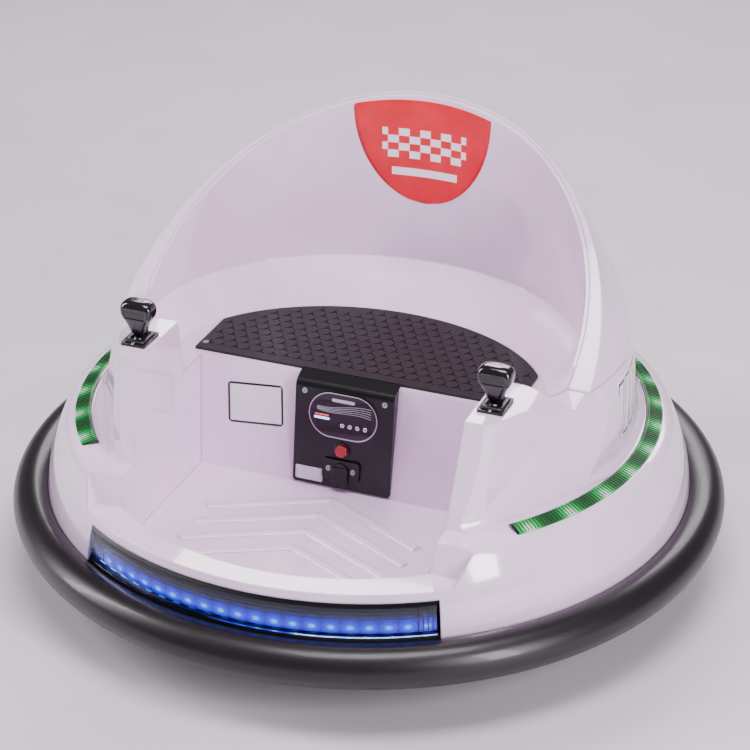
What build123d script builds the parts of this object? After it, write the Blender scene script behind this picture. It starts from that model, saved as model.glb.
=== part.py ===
from build123d import *
import math
import os

# A child's electric ride-on bumper car, in millimetres. The car faces -Y, +Z is up, and the
# origin is on the floor under the middle of the round body, where the four wheels stand.
# Two drive wheels on the cross axis and two swivel casters, front and rear, carry a chassis
# pan. The soft bumper ring, the moulded body, the cockpit tub and the hood sit on that pan.

os.makedirs("parts", exist_ok=True)

# ---------------------------------------------------------------- shared sizes
wall = 3.5                  # thickness of the moulded shells
fit_gap = 0.3               # clearance between pieces that sit in one another
bore_gap = 0.05             # radial clearance of a shaft in its bore

# ---------------------------------------------------------------- bumper ring
ring_tube_r = 21.5          # radius of the round rubber section
ring_path_r = 346.0         # radius of the ring at the middle of its section
ring_mid_z = 70.0
ring_tongue_r = ring_path_r - 28     # inner radius of the tongue held between pan and body

# ---------------------------------------------------------------- chassis pan
pan_z = 50.0                # underside of the pan above the floor
pan_wall = 4.0
pan_flange_r = ring_tongue_r + 11    # the pan's edge, under the ring's tongue
pan_rim_z = 84.0            # top of the pan's upstanding rim

# ---------------------------------------------------------------- body, a turned profile
# each arc: radius and height of its centre in the profile, then the arc's own radius
skirt_arc = (ring_path_r - 204.5, 67.3, 190.4)    # the skirt's bow
dome_arc = (ring_path_r - 522, 158.5, 448.3)      # the upright side and the dome above it
skirt_bottom_z = 85.5
ledge_z = 161.0             # ledge that carries the side lamps
roll_r = 12.0               # rounding between skirt and ledge
cove_r = 11.0               # hollow between ledge and upright side
crown_z = 450.0             # nothing reaches so high
# the flanks are drawn in: an arc turned about an axis that stands behind the middle
flank_arc = (ring_path_r - 781, -30.0, 750.4)
flank_axis_y = 23.0
flank_low_z = 174.0
flank_front_y = -105.0      # it is followed from here back
console_top_z = 262.0       # flat top of the consoles
console_roll_x = ring_path_r - 156    # from here their tops round down to the outside
console_roll_r = 55.0
seam_z = 246.0              # joint between body and hood, behind the bead

# ---------------------------------------------------------------- cockpit
floor_z = 95.0
console_gap_half = console_roll_x - 22    # half the opening between them, at their top
floor_half_w = console_gap_half - 11
riser_foot_y = -75.0
deck_edge_y = -51.0
deck_z = 209.0
console_back_y = -92.0
console_front_y = -181.0    # front face of a console, at its top
console_foot_y = -211.0     # the same face, at the ledge
step_top_y = -235.0         # the step from the ledge down to the sill, at its top
step_foot_y = -243.0
sill_z = 131.0
sill_front_y = 50 - ring_path_r      # inner edge of the sill on the centre line
sill_side_y = sill_front_y + 55      # inner edge of the sill at the floor's side
sill_end_x = floor_half_w + 31       # where the sill starts to rise to the ledge
sill_rise_x = sill_end_x + 12        # where it has reached the ledge
back_a = ring_path_r - 120  # backrest wall, half width of its ellipse
back_b = back_a - 23
back_y = -30.0
back_foot_z = 243.0
flange_a = back_a - 29      # seat flange, half width of its lower ellipse
flange_b = back_b - 46
flange_y = -49.0
scoop_flank_at = (console_roll_x + 3, -182.0, 255.0)    # a point of each of its two sides
scoop_flank_out = (0.929, -0.367, 0.0535)
scoop_ramp_at = (ring_path_r - 111, -77.0, 245.0)
scoop_ramp_out = (0.829, -0.475, 0.2945)

# ---------------------------------------------------------------- rim of the hood
bead_foot_y = -38.0         # the bead, where the backrest ends, at the console's height
bead_slope = 1.27           # how far the bead runs back for each mm that it rises
collar_d = 15.0             # depth of the collar that holds the end of the backrest

# ---------------------------------------------------------------- drive wheels
wheel_r = 65.0
wheel_w = 38.0
wheel_x = ring_path_r - 110  # middle of the tyre from the centre line
wheel_y = 10.0
rim_r = 46.0
axle_r = 6.0
hub_w = 34.0
well_gap = 8.0              # space round a drive wheel in the pan
gearbox_w = 52.0

# ---------------------------------------------------------------- casters
caster_r = 25.0
caster_w = 22.0
caster_y = ring_path_r - 114  # swivel axis from the middle, front and rear
caster_trail = 16.0
caster_seat_z = 74.0        # underside of the raised pocket that carries the plate
caster_pin_r = 3.0
cheek_t = 2.5
pocket_r = 52.0

# ---------------------------------------------------------------- control levers
lever_x = console_roll_x - 5.5
lever_y = -143.0
lever_plate_w = 26.0
lever_plate_l = 34.0
lever_plate_t = 2.5
lever_drum_r = 9.0
lever_drum_w = 10.0
lever_pin_r = 2.5
grip_foot_w = 10.0
grip_foot_d = 10.0
grip_head_w = 34.0
grip_head_d = 22.0
grip_foot_h = lever_drum_r - 2   # from pivot to the foot of the grip, inside the drum
grip_h = 40.0               # from pivot to the top of the grip
grip_head_h = 14.0          # straight part of the head
grip_corner_r = 3.0
lever_pin_drop = 3.0        # the pin lies this far under the plate
lever_plate_r = 2.0
lever_ear_t = 3.0           # the two ears under the plate that carry the pin
lever_ear_w = 12.0
lever_ear_h = 8.0
lever_ear_gap = 0.8

# ---------------------------------------------------------------- seat mat and panel
mat_t = 3.0
mat_inset = 2.0             # bare edge of the deck round the mat
mat_half_w = flange_a - 24  # the mat's ends are cut square here
mat_front_y = deck_edge_y + 5
panel_w = 106.0
panel_foot_z = 97.0
panel_foot_d = 2.0          # how far its face stands off the riser at its foot
panel_brow_z = 204.5        # its face ends here and rolls back over the deck's edge
panel_brow_d = 12.5         # how far it stands off the riser there
panel_brow_r = 9.0
panel_lip = 2.5             # its back edge, on the deck
panel_corner_r = 4.0
dial_w = 74.0               # the player's bezel, a slot with round ends
dial_h = 48.0
dial_rim = 2.5
dial_up = 79.0              # middle of the dial above the panel's foot, along its face
switch_up = 42.0
switch_r = 8.0
socket_up = 21.0
socket_w = 40.0
socket_h = 22.0

# ---------------------------------------------------------------- lamps
front_lamp_half = 33.5      # half the angle that the front lamp spans, degrees
front_lamp_depth = 12.0
front_lamp_top_z = 123.0     # its opening in the skirt ends here
side_lamp_from = 49.5       # a side lamp's ends, degrees from straight ahead
side_lamp_to = 130.0
side_lamp_in = ring_path_r - 60
side_lamp_out = side_lamp_in + 12
side_lamp_deep = 9.0
lamp_wall = 1.5             # wall of a side lamp's channel
lamp_edge = 4.0             # border of the front lamp's housing, above and below its cover
lamp_recess = 5.0           # depth of the housing behind the cover
cover_t = 2.8
led_count = 21
led_w = 6.0
led_l = 8.0
led_t = 1.6
straight_ahead = -90.0      # direction of the car's front, degrees from +X

# ---------------------------------------------------------------- battery
battery = (151.0, 98.0, 95.0)
battery_y = 55.0


def radial_plane(degrees):
    """Upright plane through the car's axis, turned anticlockwise from +X."""
    a = math.radians(degrees)
    return Plane(origin=(0, 0, 0), x_dir=(math.cos(a), math.sin(a), 0),
                 z_dir=(math.sin(a), -math.cos(a), 0))


def arc_at(arc, z, inset=0.0):
    """Point of an arc of the profile at height z, the arc drawn in by inset."""
    mid_r, mid_z, radius = arc
    return mid_r + math.sqrt((radius - inset) ** 2 - (z - mid_z) ** 2), z


def bow(arc, low_z, high_z, inset):
    """Line of a profile along an arc, drawn in by inset, between two heights."""
    mid_z = (low_z + high_z) / 2
    return ThreePointArc(arc_at(arc, low_z, inset), arc_at(arc, mid_z, inset),
                         arc_at(arc, high_z, inset))


def outside_flanks(inset):
    """What lies outside the drawn-in flanks, from flank_front_y back."""
    with BuildPart() as outside:
        with BuildSketch(Plane.XZ.offset(-flank_axis_y)):
            with BuildLine():
                flank = bow(flank_arc, flank_low_z, crown_z, inset)
                Polyline(flank @ 1, (ring_path_r, crown_z), (ring_path_r, flank_low_z),
                         flank @ 0)
            make_face()
        revolve(axis=Axis((0, flank_axis_y, 0), (0, 0, 1)))
        split(bisect_by=Plane.XZ.offset(-flank_front_y), keep=Keep.BOTTOM)
    return outside.part


def turned_body(inset):
    """The outside of body and hood, or its inside when inset is the wall's thickness."""
    with BuildPart() as turned:
        with BuildSketch(Plane.XZ) as profile:
            with BuildLine():
                skirt = bow(skirt_arc, skirt_bottom_z, ledge_z - inset, inset)
                side = bow(dome_arc, ledge_z - inset, crown_z - inset, inset)
                Line(skirt @ 1, side @ 0)
                Polyline(side @ 1, (0, crown_z - inset), (0, skirt_bottom_z), skirt @ 0)
            make_face()
            fillet(profile.vertices().sort_by_distance(skirt @ 1)[0], roll_r - inset)
            fillet(profile.vertices().sort_by_distance(side @ 0)[0], cove_r + inset)
        revolve(axis=Axis.Z)
        add(outside_flanks(inset), mode=Mode.SUBTRACT)
    return turned.part


def leaning_plane(top, foot, inset):
    """Plane across the car through two (y, z) points of its trace, moved back by inset."""
    along = Vector(0, top[0] - foot[0], top[1] - foot[1]).normalized()
    out = Vector(0, -along.Z, along.Y)
    return Plane(origin=Vector(0, top[0], top[1]) - out * inset, x_dir=(1, 0, 0), z_dir=out)


def above_consoles(inset):
    """What lies above the consoles' rounded tops, ahead of the bead."""
    with BuildPart() as above:
        with BuildSketch(Plane.XZ.offset(-ring_path_r)):
            with BuildLine():
                top = console_top_z - inset
                radius = console_roll_r - inset
                drop = CenterArc((console_roll_x, top - radius), radius, 90, -60)
                Polyline(drop @ 1, (ring_path_r, (drop @ 1).Y), (ring_path_r, 2 * crown_z),
                         (0, 2 * crown_z), (0, top), drop @ 0)
                mirror(about=Plane.YZ)
            make_face()
        extrude(amount=2 * ring_path_r)
        split(bisect_by=bead_plane.offset(-inset), keep=Keep.TOP)
    return above.part


def above_seam(inset):
    """What lies above the seam behind the bead."""
    with BuildPart() as above:
        with BuildSketch(Plane.XY.offset(seam_z)):
            Rectangle(2 * ring_path_r, 2 * ring_path_r)
        extrude(amount=crown_z)
        split(bisect_by=bead_plane.offset(inset), keep=Keep.BOTTOM)
    return above.part


def scoops(inset):
    """The hollows beside the consoles: each opens between its flank and the ramp behind it."""
    flank = Plane(origin=scoop_flank_at, z_dir=scoop_flank_out).offset(-inset)
    ramp = Plane(origin=scoop_ramp_at, z_dir=scoop_ramp_out).offset(-inset)
    with BuildPart() as scoop:
        with BuildSketch(Plane.XY.offset(ledge_z - inset)):
            with Locations((ring_path_r / 2, -ring_path_r / 2)):
                Rectangle(ring_path_r, ring_path_r)
        extrude(amount=crown_z)
        split(bisect_by=flank, keep=Keep.TOP)
        split(bisect_by=ramp, keep=Keep.TOP)
        mirror(about=Plane.YZ)
    return scoop.part


def ahead_of_face(inset):
    """The space above the ledge and ahead of the consoles."""
    with BuildPart() as ahead:
        with BuildSketch(Plane.XY.offset(ledge_z - inset)):
            with Locations((0, -ring_path_r / 2)):
                Rectangle(2 * ring_path_r, ring_path_r)
        extrude(amount=crown_z)
        split(bisect_by=leaning_plane((console_front_y, console_top_z),
                                      (console_foot_y, ledge_z), inset), keep=Keep.TOP)
    return ahead.part


def above_sill(inset):
    """The space above the sill, from the step forward."""
    with BuildPart() as above:
        with BuildSketch(Plane.XZ.offset(-step_top_y / 2)):
            with BuildLine():
                Polyline((0, sill_z - inset), (sill_end_x, sill_z - inset),
                         (sill_rise_x, ledge_z - inset), (sill_rise_x, crown_z), (0, crown_z))
                mirror(about=Plane.YZ)
            make_face()
        extrude(amount=ring_path_r)
        split(bisect_by=leaning_plane((step_top_y, ledge_z), (step_foot_y, sill_z), inset),
              keep=Keep.TOP)
    return above.part


def body_block(inset):
    """The body as one block with its consoles, drawn in by inset on every side but the bottom."""
    with BuildPart() as block:
        add(turned_body(inset))
        for space in (above_consoles, above_seam, ahead_of_face, scoops, above_sill):
            add(space(inset), mode=Mode.SUBTRACT)
    return block.part


def footwell(grow, top_z):
    """The space for the legs, with drafted walls, made larger by grow."""
    draft_w = (console_gap_half - floor_half_w) / (console_top_z - floor_z)
    draft_y = (deck_edge_y - riser_foot_y) / (deck_z - floor_z)
    with BuildPart() as well:
        for z in (floor_z - grow, top_z):
            half_w = floor_half_w + draft_w * (z - floor_z) + grow
            back = riser_foot_y + draft_y * (z - floor_z) + grow
            with BuildSketch(Plane.XY.offset(z)):
                with BuildLine():
                    ThreePointArc((-half_w, sill_side_y - grow), (0, sill_front_y - grow),
                                  (half_w, sill_side_y - grow))
                    Polyline((half_w, sill_side_y - grow), (half_w, back), (-half_w, back),
                             (-half_w, sill_side_y - grow))
                make_face()
        loft(ruled=True)
    return well.part


def between_consoles(grow, low_z, high_z, back=deck_edge_y):
    """A drafted block as wide as the gap between the consoles, running forward from back."""
    draft_w = (console_gap_half - floor_half_w) / (console_top_z - floor_z)
    with BuildPart() as block:
        with BuildSketch(Plane.XZ.offset(-back)):
            with BuildLine():
                low_w = floor_half_w + draft_w * (low_z - floor_z) + grow
                high_w = floor_half_w + draft_w * (high_z - floor_z) + grow
                Polyline((-low_w, low_z), (low_w, low_z), (high_w, high_z), (-high_w, high_z),
                         close=True)
            make_face()
        extrude(amount=back + ring_path_r)
    return block.part


def seat_space(grow):
    """The hollow over the seat: a flange that opens upwards, then the upright backrest wall."""
    with BuildPart() as space:
        for z, a, b, y in (
            (deck_z - grow, flange_a, flange_b, flange_y),
            (back_foot_z, back_a, back_b, back_y),
        ):
            with BuildSketch(Plane.XY.offset(z)):
                with Locations((0, y)):
                    Ellipse(a + grow, b + grow)
        loft()
        with BuildSketch(Plane.XY.offset(back_foot_z)):
            with Locations((0, back_y)):
                Ellipse(back_a + grow, back_b + grow)
        extrude(amount=crown_z - back_foot_z)
        split(bisect_by=Plane.XZ.offset(-console_back_y), keep=Keep.BOTTOM)
    return space.part


# leaning plane of the bead; its normal points forward and up
bead_plane = Plane(origin=(0, bead_foot_y, console_top_z), x_dir=(1, 0, 0),
                   z_dir=(0, -1, bead_slope))

# ================================================================ rolling gear
# drive wheels: a moulded hub with five spokes, a rubber tyre, and a fixed steel axle
for side, s in (("left", -1), ("right", 1)):
    wheel_plane = Plane(origin=(s * wheel_x, wheel_y, wheel_r), x_dir=(0, 1, 0), z_dir=(s, 0, 0))

    with BuildPart() as tyre:
        with BuildSketch(Plane(origin=(s * wheel_x, wheel_y, wheel_r), x_dir=(s, 0, 0),
                               z_dir=(0, -1, 0))):
            with Locations((0, (rim_r + wheel_r) / 2)):
                RectangleRounded(wheel_w, wheel_r - rim_r, 6)
        revolve(axis=Axis((0, wheel_y, wheel_r), (1, 0, 0)))
    tyre.part.label = f"drive_tyre_{side}"
    export_step(tyre.part, f"parts/drive_tyre_{side}.step")

    with BuildPart() as hub:
        with BuildSketch(wheel_plane.offset(-hub_w / 2)):
            Circle(rim_r - fit_gap)
            Circle(rim_r - 6, mode=Mode.SUBTRACT)
        extrude(amount=hub_w)
        with BuildSketch(wheel_plane.offset(-hub_w / 2)):
            Circle(15)
        extrude(amount=hub_w)
        with BuildSketch(wheel_plane.offset(-4)):
            Circle(rim_r - 5)
            with PolarLocations(27, 5):
                Circle(8, mode=Mode.SUBTRACT)
        extrude(amount=8)
        with BuildSketch(wheel_plane.offset(-hub_w / 2)):
            Circle(axle_r + bore_gap)
        extrude(amount=hub_w, mode=Mode.SUBTRACT)
    hub.part.label = f"drive_hub_{side}"
    export_step(hub.part, f"parts/drive_hub_{side}.step")

    gearbox_face = wheel_x - hub_w / 2 - 3
    with BuildPart() as axle:
        with BuildSketch(Plane.YZ.offset(s * (gearbox_face - gearbox_w / 2))):
            with Locations((wheel_y, wheel_r)):
                Circle(axle_r)
        extrude(amount=s * (wheel_x + hub_w / 2 + 8 - gearbox_face + gearbox_w / 2))
        with BuildSketch(Plane.YZ.offset(s * (wheel_x + hub_w / 2 + 1))):
            with Locations((wheel_y, wheel_r)):
                RegularPolygon(9, 6)
        extrude(amount=s * 6)
    axle.part.label = f"axle_{side}"
    export_step(axle.part, f"parts/axle_{side}.step")

    with BuildPart() as gearbox:
        with BuildSketch(Plane.YZ.offset(s * (gearbox_face - gearbox_w))):
            with BuildLine():
                lower = CenterArc((wheel_y, wheel_r), wheel_r - pan_z - pan_wall, 180, 180)
                Polyline(lower @ 1, (wheel_y + 20, pan_z + 46), (wheel_y + 20, pan_z + 70),
                         (wheel_y - 30, pan_z + 70), (wheel_y - 30, pan_z + 46), lower @ 0)
            make_face()
        extrude(amount=s * gearbox_w)
        with BuildSketch(Plane.YZ.offset(s * (gearbox_face - gearbox_w))):
            with Locations((wheel_y - 5, pan_z + 52)):
                Circle(16)
        extrude(amount=-s * 46)
        with BuildSketch(Plane.YZ.offset(s * (gearbox_face - gearbox_w / 2))):
            with Locations((wheel_y, wheel_r)):
                Circle(axle_r + fit_gap / 3)
        extrude(amount=s * gearbox_w, mode=Mode.SUBTRACT)
    gearbox.part.label = f"drive_unit_{side}"
    export_step(gearbox.part, f"parts/drive_unit_{side}.step")

# casters: a plate screwed into the pan's pocket, a swivelling fork, a pin and a wheel
fork_top_z = caster_seat_z - fit_gap - 3.0 - 0.5
for end, s in (("front", -1), ("rear", 1)):
    swivel = (0, s * caster_y)
    pin_y = s * caster_y + caster_trail

    with BuildPart() as plate:
        with BuildSketch(Plane.XY.offset(caster_seat_z - fit_gap)):
            with Locations(swivel):
                RectangleRounded(50, 50, 6)
                with GridLocations(36, 36, 2, 2):
                    Circle(2.5, mode=Mode.SUBTRACT)
        extrude(amount=-3.0)
    plate.part.label = f"caster_plate_{end}"
    export_step(plate.part, f"parts/caster_plate_{end}.step")

    with BuildPart() as fork:
        with BuildSketch(Plane.XY.offset(fork_top_z)):
            with Locations(swivel):
                Circle(17)
        extrude(amount=-5)
        cheek_in = caster_w / 2 + 1.5
        with BuildSketch(Plane.YZ.offset(cheek_in)):
            with BuildLine():
                tip = CenterArc((pin_y, caster_r), 8, 180, 180)
                Polyline(tip @ 1, (pin_y + 3, fork_top_z - 1), (s * caster_y - 13, fork_top_z - 1),
                         tip @ 0)
            make_face()
        extrude(amount=cheek_t)
        mirror(about=Plane.YZ)
        with BuildSketch(Plane.YZ.offset(-cheek_in - cheek_t)):
            with Locations((pin_y, caster_r)):
                Circle(caster_pin_r + fit_gap / 3)
        extrude(amount=2 * (cheek_in + cheek_t), mode=Mode.SUBTRACT)
    fork.part.label = f"caster_fork_{end}"
    export_step(fork.part, f"parts/caster_fork_{end}.step")

    with BuildPart() as pin:
        with BuildSketch(Plane.YZ.offset(-cheek_in - cheek_t - 2)):
            with Locations((pin_y, caster_r)):
                Circle(caster_pin_r)
        extrude(amount=2 * (cheek_in + cheek_t + 2))
    pin.part.label = f"caster_pin_{end}"
    export_step(pin.part, f"parts/caster_pin_{end}.step")

    with BuildPart() as roller:
        with BuildSketch(Plane.XY.offset(caster_r)):
            with Locations((0, pin_y + (caster_r + caster_pin_r + bore_gap) / 2)):
                Rectangle(caster_w, caster_r - caster_pin_r - bore_gap)

        revolve(axis=Axis((0, pin_y, caster_r), (1, 0, 0)))
    roller.part.label = f"caster_wheel_{end}"
    export_step(roller.part, f"parts/caster_wheel_{end}.step")

# ================================================================ chassis
with BuildPart() as pan:
    with BuildSketch(Plane.XZ):
        with BuildLine():
            rim_r_out = ring_tongue_r - fit_gap
            Polyline((0, pan_z), (pan_flange_r, pan_z), (pan_flange_r, pan_z + pan_wall),
                     (rim_r_out, pan_z + pan_wall), (rim_r_out, pan_rim_z),
                     (rim_r_out - pan_wall, pan_rim_z), (rim_r_out - pan_wall, pan_z + pan_wall),
                     (0, pan_z + pan_wall), close=True)
        make_face()
    revolve(axis=Axis.Z)
    with BuildSketch(Plane.XY.offset(pan_z)):
        with Locations((0, -caster_y), (0, caster_y)):
            Circle(pocket_r + pan_wall)
    extrude(amount=caster_seat_z + pan_wall - pan_z)
    with BuildSketch(Plane.XY.offset(pan_z)):
        with Locations((0, -caster_y), (0, caster_y)):
            Circle(pocket_r)
    extrude(amount=caster_seat_z - pan_z, mode=Mode.SUBTRACT)
    with BuildSketch(Plane.XY.offset(pan_z)):
        with Locations((-wheel_x, wheel_y), (wheel_x, wheel_y)):
            RectangleRounded(wheel_w + 2 * well_gap, 2 * (wheel_r + well_gap), 12)
    extrude(amount=pan_wall, mode=Mode.SUBTRACT)
pan.part.label = "chassis_pan"
export_step(pan.part, "parts/chassis_pan.step")

with BuildPart() as ring:
    with BuildSketch(Plane.XZ):
        with Locations((ring_path_r, ring_mid_z)):
            Circle(ring_tube_r)
        tongue_low = pan_z + pan_wall + fit_gap
        tongue_high = skirt_bottom_z - fit_gap
        with Locations(((ring_tongue_r + ring_path_r) / 2, (tongue_low + tongue_high) / 2)):
            Rectangle(ring_path_r - ring_tongue_r, tongue_high - tongue_low)
    revolve(axis=Axis.Z)
ring.part.label = "bumper_ring"
export_step(ring.part, "parts/bumper_ring.step")

with BuildPart() as cell:
    with BuildSketch(Plane.XY.offset(pan_z + pan_wall)):
        with Locations((0, battery_y)):
            RectangleRounded(battery[0], battery[1], 4)
    extrude(amount=battery[2])
cell.part.label = "battery"
export_step(cell.part, "parts/battery.step")

# ================================================================ body
def console_walls():
    """Walls of the consoles, on the cockpit side and behind, trimmed to the body's outside."""
    with BuildPart() as walls:
        add(between_consoles(wall, floor_z - wall, console_top_z))
        add(between_consoles(0, floor_z - wall, console_top_z), mode=Mode.SUBTRACT)
        with BuildSketch(Plane.XZ.offset(-console_back_y)):
            with Locations((0, (deck_z + console_top_z) / 2)):
                Rectangle(2 * side_lamp_in, console_top_z - deck_z)
        extrude(amount=wall)
        add(body_block(0), mode=Mode.INTERSECT)
    return walls.part


def lamp_slot(low_z, high_z, inner_r, outer_r, start, sweep):
    """A curved slot about the car's axis, for a lamp that starts at an angle and spans a sweep."""
    with BuildPart() as slot:
        with BuildSketch(radial_plane(start)):
            with Locations(((inner_r + outer_r) / 2, (low_z + high_z) / 2)):
                Rectangle(outer_r - inner_r, high_z - low_z)
        revolve(axis=Axis.Z, revolution_arc=sweep)
    return slot.part


side_sweep = side_lamp_to - side_lamp_from
side_starts = (("left", straight_ahead - side_lamp_to), ("right", straight_ahead + side_lamp_from))

with BuildPart() as body:
    add(body_block(0))
    add(body_block(wall), mode=Mode.SUBTRACT)
    add(console_walls())
    add(footwell(0, crown_z), mode=Mode.SUBTRACT)
    add(seat_space(wall + fit_gap), mode=Mode.SUBTRACT)
    # slots for the three lamps
    for side, start in side_starts:
        add(lamp_slot(ledge_z - 2 * wall, ledge_z + 1, side_lamp_in - fit_gap,
                      side_lamp_out + fit_gap, start, side_sweep), mode=Mode.SUBTRACT)
    add(lamp_slot(skirt_bottom_z - 1, front_lamp_top_z, ring_tongue_r - 2 * wall, ring_path_r,
                  straight_ahead - front_lamp_half, 2 * front_lamp_half), mode=Mode.SUBTRACT)
    # openings in the console tops for the lever drums
    with BuildSketch(Plane.XY.offset(console_top_z)):
        with Locations((-lever_x, lever_y), (lever_x, lever_y)):
            Rectangle(lever_plate_w - 8, lever_plate_l - 8)
    extrude(amount=-4 * wall, mode=Mode.SUBTRACT)
body.part.label = "body_shell"
export_step(body.part, "parts/body_shell.step")

# what a tub may not fill: over the consoles, ahead of the bead
with BuildPart() as over_consoles:
    with BuildSketch(Plane.XY.offset(console_top_z)):
        Rectangle(2 * ring_path_r, 2 * ring_path_r)
    extrude(amount=crown_z - console_top_z)
    split(bisect_by=bead_plane, keep=Keep.TOP)

with BuildPart() as tub:
    add(footwell(wall, deck_z))
    add(footwell(0, deck_z + 1), mode=Mode.SUBTRACT)
    add(between_consoles(-fit_gap, floor_z - wall, deck_z, deck_edge_y + 2 * wall),
        mode=Mode.INTERSECT)
    # its front wall ends under the sill
    with BuildSketch(Plane.XY.offset(sill_z - wall - fit_gap)):
        with Locations((0, sill_front_y)):
            Rectangle(2 * side_lamp_in, -2 * (sill_front_y - step_top_y))
    extrude(amount=deck_z, mode=Mode.SUBTRACT)
    add(seat_space(wall))
    add(seat_space(0), mode=Mode.SUBTRACT)
    add(footwell(0, crown_z), mode=Mode.SUBTRACT)
    add(over_consoles.part, mode=Mode.SUBTRACT)
tub.part.label = "cockpit_tub"
export_step(tub.part, "parts/cockpit_tub.step")

with BuildPart() as collar:
    add(seat_space(2 * wall + fit_gap))
    split(bisect_by=bead_plane.offset(-collar_d), keep=Keep.TOP)

with BuildPart() as hood_hollow:
    add(turned_body(wall))
    split(bisect_by=Plane.XY.offset(seam_z - wall), keep=Keep.TOP)
    split(bisect_by=bead_plane.offset(-wall), keep=Keep.BOTTOM)
    add(collar.part, mode=Mode.SUBTRACT)

with BuildPart() as hood:
    add(turned_body(0))
    split(bisect_by=Plane.XY.offset(seam_z + fit_gap), keep=Keep.TOP)
    split(bisect_by=bead_plane.offset(-fit_gap), keep=Keep.BOTTOM)
    add(seat_space(wall + fit_gap), mode=Mode.SUBTRACT)
    add(hood_hollow.part, mode=Mode.SUBTRACT)
hood.part.label = "hood_shell"
export_step(hood.part, "parts/hood_shell.step")

with BuildPart() as mat:
    with BuildSketch(Plane.XY.offset(deck_z)):
        with Locations((0, flange_y)):
            Ellipse(flange_a - mat_inset, flange_b - mat_inset)
        with Locations((0, mat_front_y + flange_a / 2)):
            Rectangle(2 * mat_half_w, flange_a, mode=Mode.INTERSECT)
    extrude(amount=mat_t)
mat.part.label = "seat_mat"
export_step(mat.part, "parts/seat_mat.step")

# ================================================================ lamps
# front lamp: a black housing let into the skirt, a row of blue lamps behind a clear cover
lamp_end_gap = 0.3          # degrees between the lamp's end and the end of its slot
front_start = straight_ahead - front_lamp_half + lamp_end_gap
front_sweep = 2 * (front_lamp_half - lamp_end_gap)
lamp_top_z = front_lamp_top_z - fit_gap
lamp_low_z = skirt_bottom_z + fit_gap
# the lamp's face follows the skirt
lamp_top_r = arc_at(skirt_arc, lamp_top_z)[0]
lamp_low_r = arc_at(skirt_arc, lamp_low_z)[0]
edge_top_r = arc_at(skirt_arc, lamp_top_z - lamp_edge)[0]
edge_low_r = arc_at(skirt_arc, lamp_low_z + lamp_edge)[0]
well_r = lamp_top_r - lamp_recess
with BuildPart() as front_housing:
    with BuildSketch(radial_plane(front_start)):
        with BuildLine():
            Polyline((lamp_top_r - front_lamp_depth, lamp_top_z), (lamp_top_r, lamp_top_z),
                     (edge_top_r, lamp_top_z - lamp_edge), (well_r, lamp_top_z - lamp_edge),
                     (well_r, lamp_low_z + lamp_edge), (edge_low_r, lamp_low_z + lamp_edge),
                     (lamp_low_r, lamp_low_z), (lamp_low_r - front_lamp_depth, lamp_low_z),
                     close=True)
        make_face()
    revolve(axis=Axis.Z, revolution_arc=front_sweep)
front_housing.part.label = "front_lamp_housing"
export_step(front_housing.part, "parts/front_lamp_housing.step")

with BuildPart() as front_lens:
    with BuildSketch(radial_plane(front_start + lamp_end_gap)):
        with BuildLine():
            cover_top_z = lamp_top_z - lamp_edge - fit_gap
            cover_low_z = lamp_low_z + lamp_edge + fit_gap
            Polyline((edge_top_r - cover_t, cover_top_z), (edge_top_r, cover_top_z),
                     (edge_low_r, cover_low_z), (edge_low_r - cover_t, cover_low_z), close=True)
        make_face()
    revolve(axis=Axis.Z, revolution_arc=front_sweep - 2 * lamp_end_gap)
front_lens.part.label = "front_lamp_cover"
export_step(front_lens.part, "parts/front_lamp_cover.step")

with BuildPart() as front_leds:
    for n in range(led_count):
        at = front_start + front_sweep * (n + 0.5) / led_count
        lamp = radial_plane(at)
        led_z = lamp_low_z + 2 * lamp_edge + led_w / 2
        with BuildSketch(Plane(origin=lamp.x_dir * well_r + Vector(0, 0, led_z),
                               x_dir=(0, 0, 1), z_dir=lamp.x_dir)):
            RectangleRounded(led_w, led_l, 1)
        extrude(amount=led_t)
front_leds.part.label = "front_lamp_leds"
export_step(front_leds.part, "parts/front_lamp_leds.step")

# side lamps: a channel sunk in the ledge and a domed cover over a row of green lamps
for side, start in side_starts:
    inner, outer = side_lamp_in, side_lamp_out
    low = ledge_z - side_lamp_deep
    with BuildPart() as channel:
        with BuildSketch(radial_plane(start + 0.1)):
            with BuildLine():
                Polyline((inner, low), (outer, low), (outer, ledge_z), (outer - lamp_wall, ledge_z),
                         (outer - lamp_wall, low + lamp_wall), (inner + lamp_wall, low + lamp_wall),
                         (inner + lamp_wall, ledge_z), (inner, ledge_z), close=True)
            make_face()
        revolve(axis=Axis.Z, revolution_arc=side_sweep - 0.2)
    channel.part.label = f"side_lamp_channel_{side}"
    export_step(channel.part, f"parts/side_lamp_channel_{side}.step")

    with BuildPart() as cover:
        with BuildSketch(radial_plane(start + lamp_end_gap)):
            with BuildLine():
                cover_in = inner + lamp_wall + fit_gap
                cover_out = outer - lamp_wall - fit_gap
                left = Line((cover_in, ledge_z - 2), (cover_in, ledge_z + 0.8))
                arch = ThreePointArc(left @ 1, ((inner + outer) / 2, ledge_z + 2.6),
                                     (cover_out, ledge_z + 0.8))
                Polyline(arch @ 1, (cover_out, ledge_z - 2), left @ 0)
            make_face()
        revolve(axis=Axis.Z, revolution_arc=side_sweep - 2 * lamp_end_gap)
    cover.part.label = f"side_lamp_cover_{side}"
    export_step(cover.part, f"parts/side_lamp_cover_{side}.step")

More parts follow.
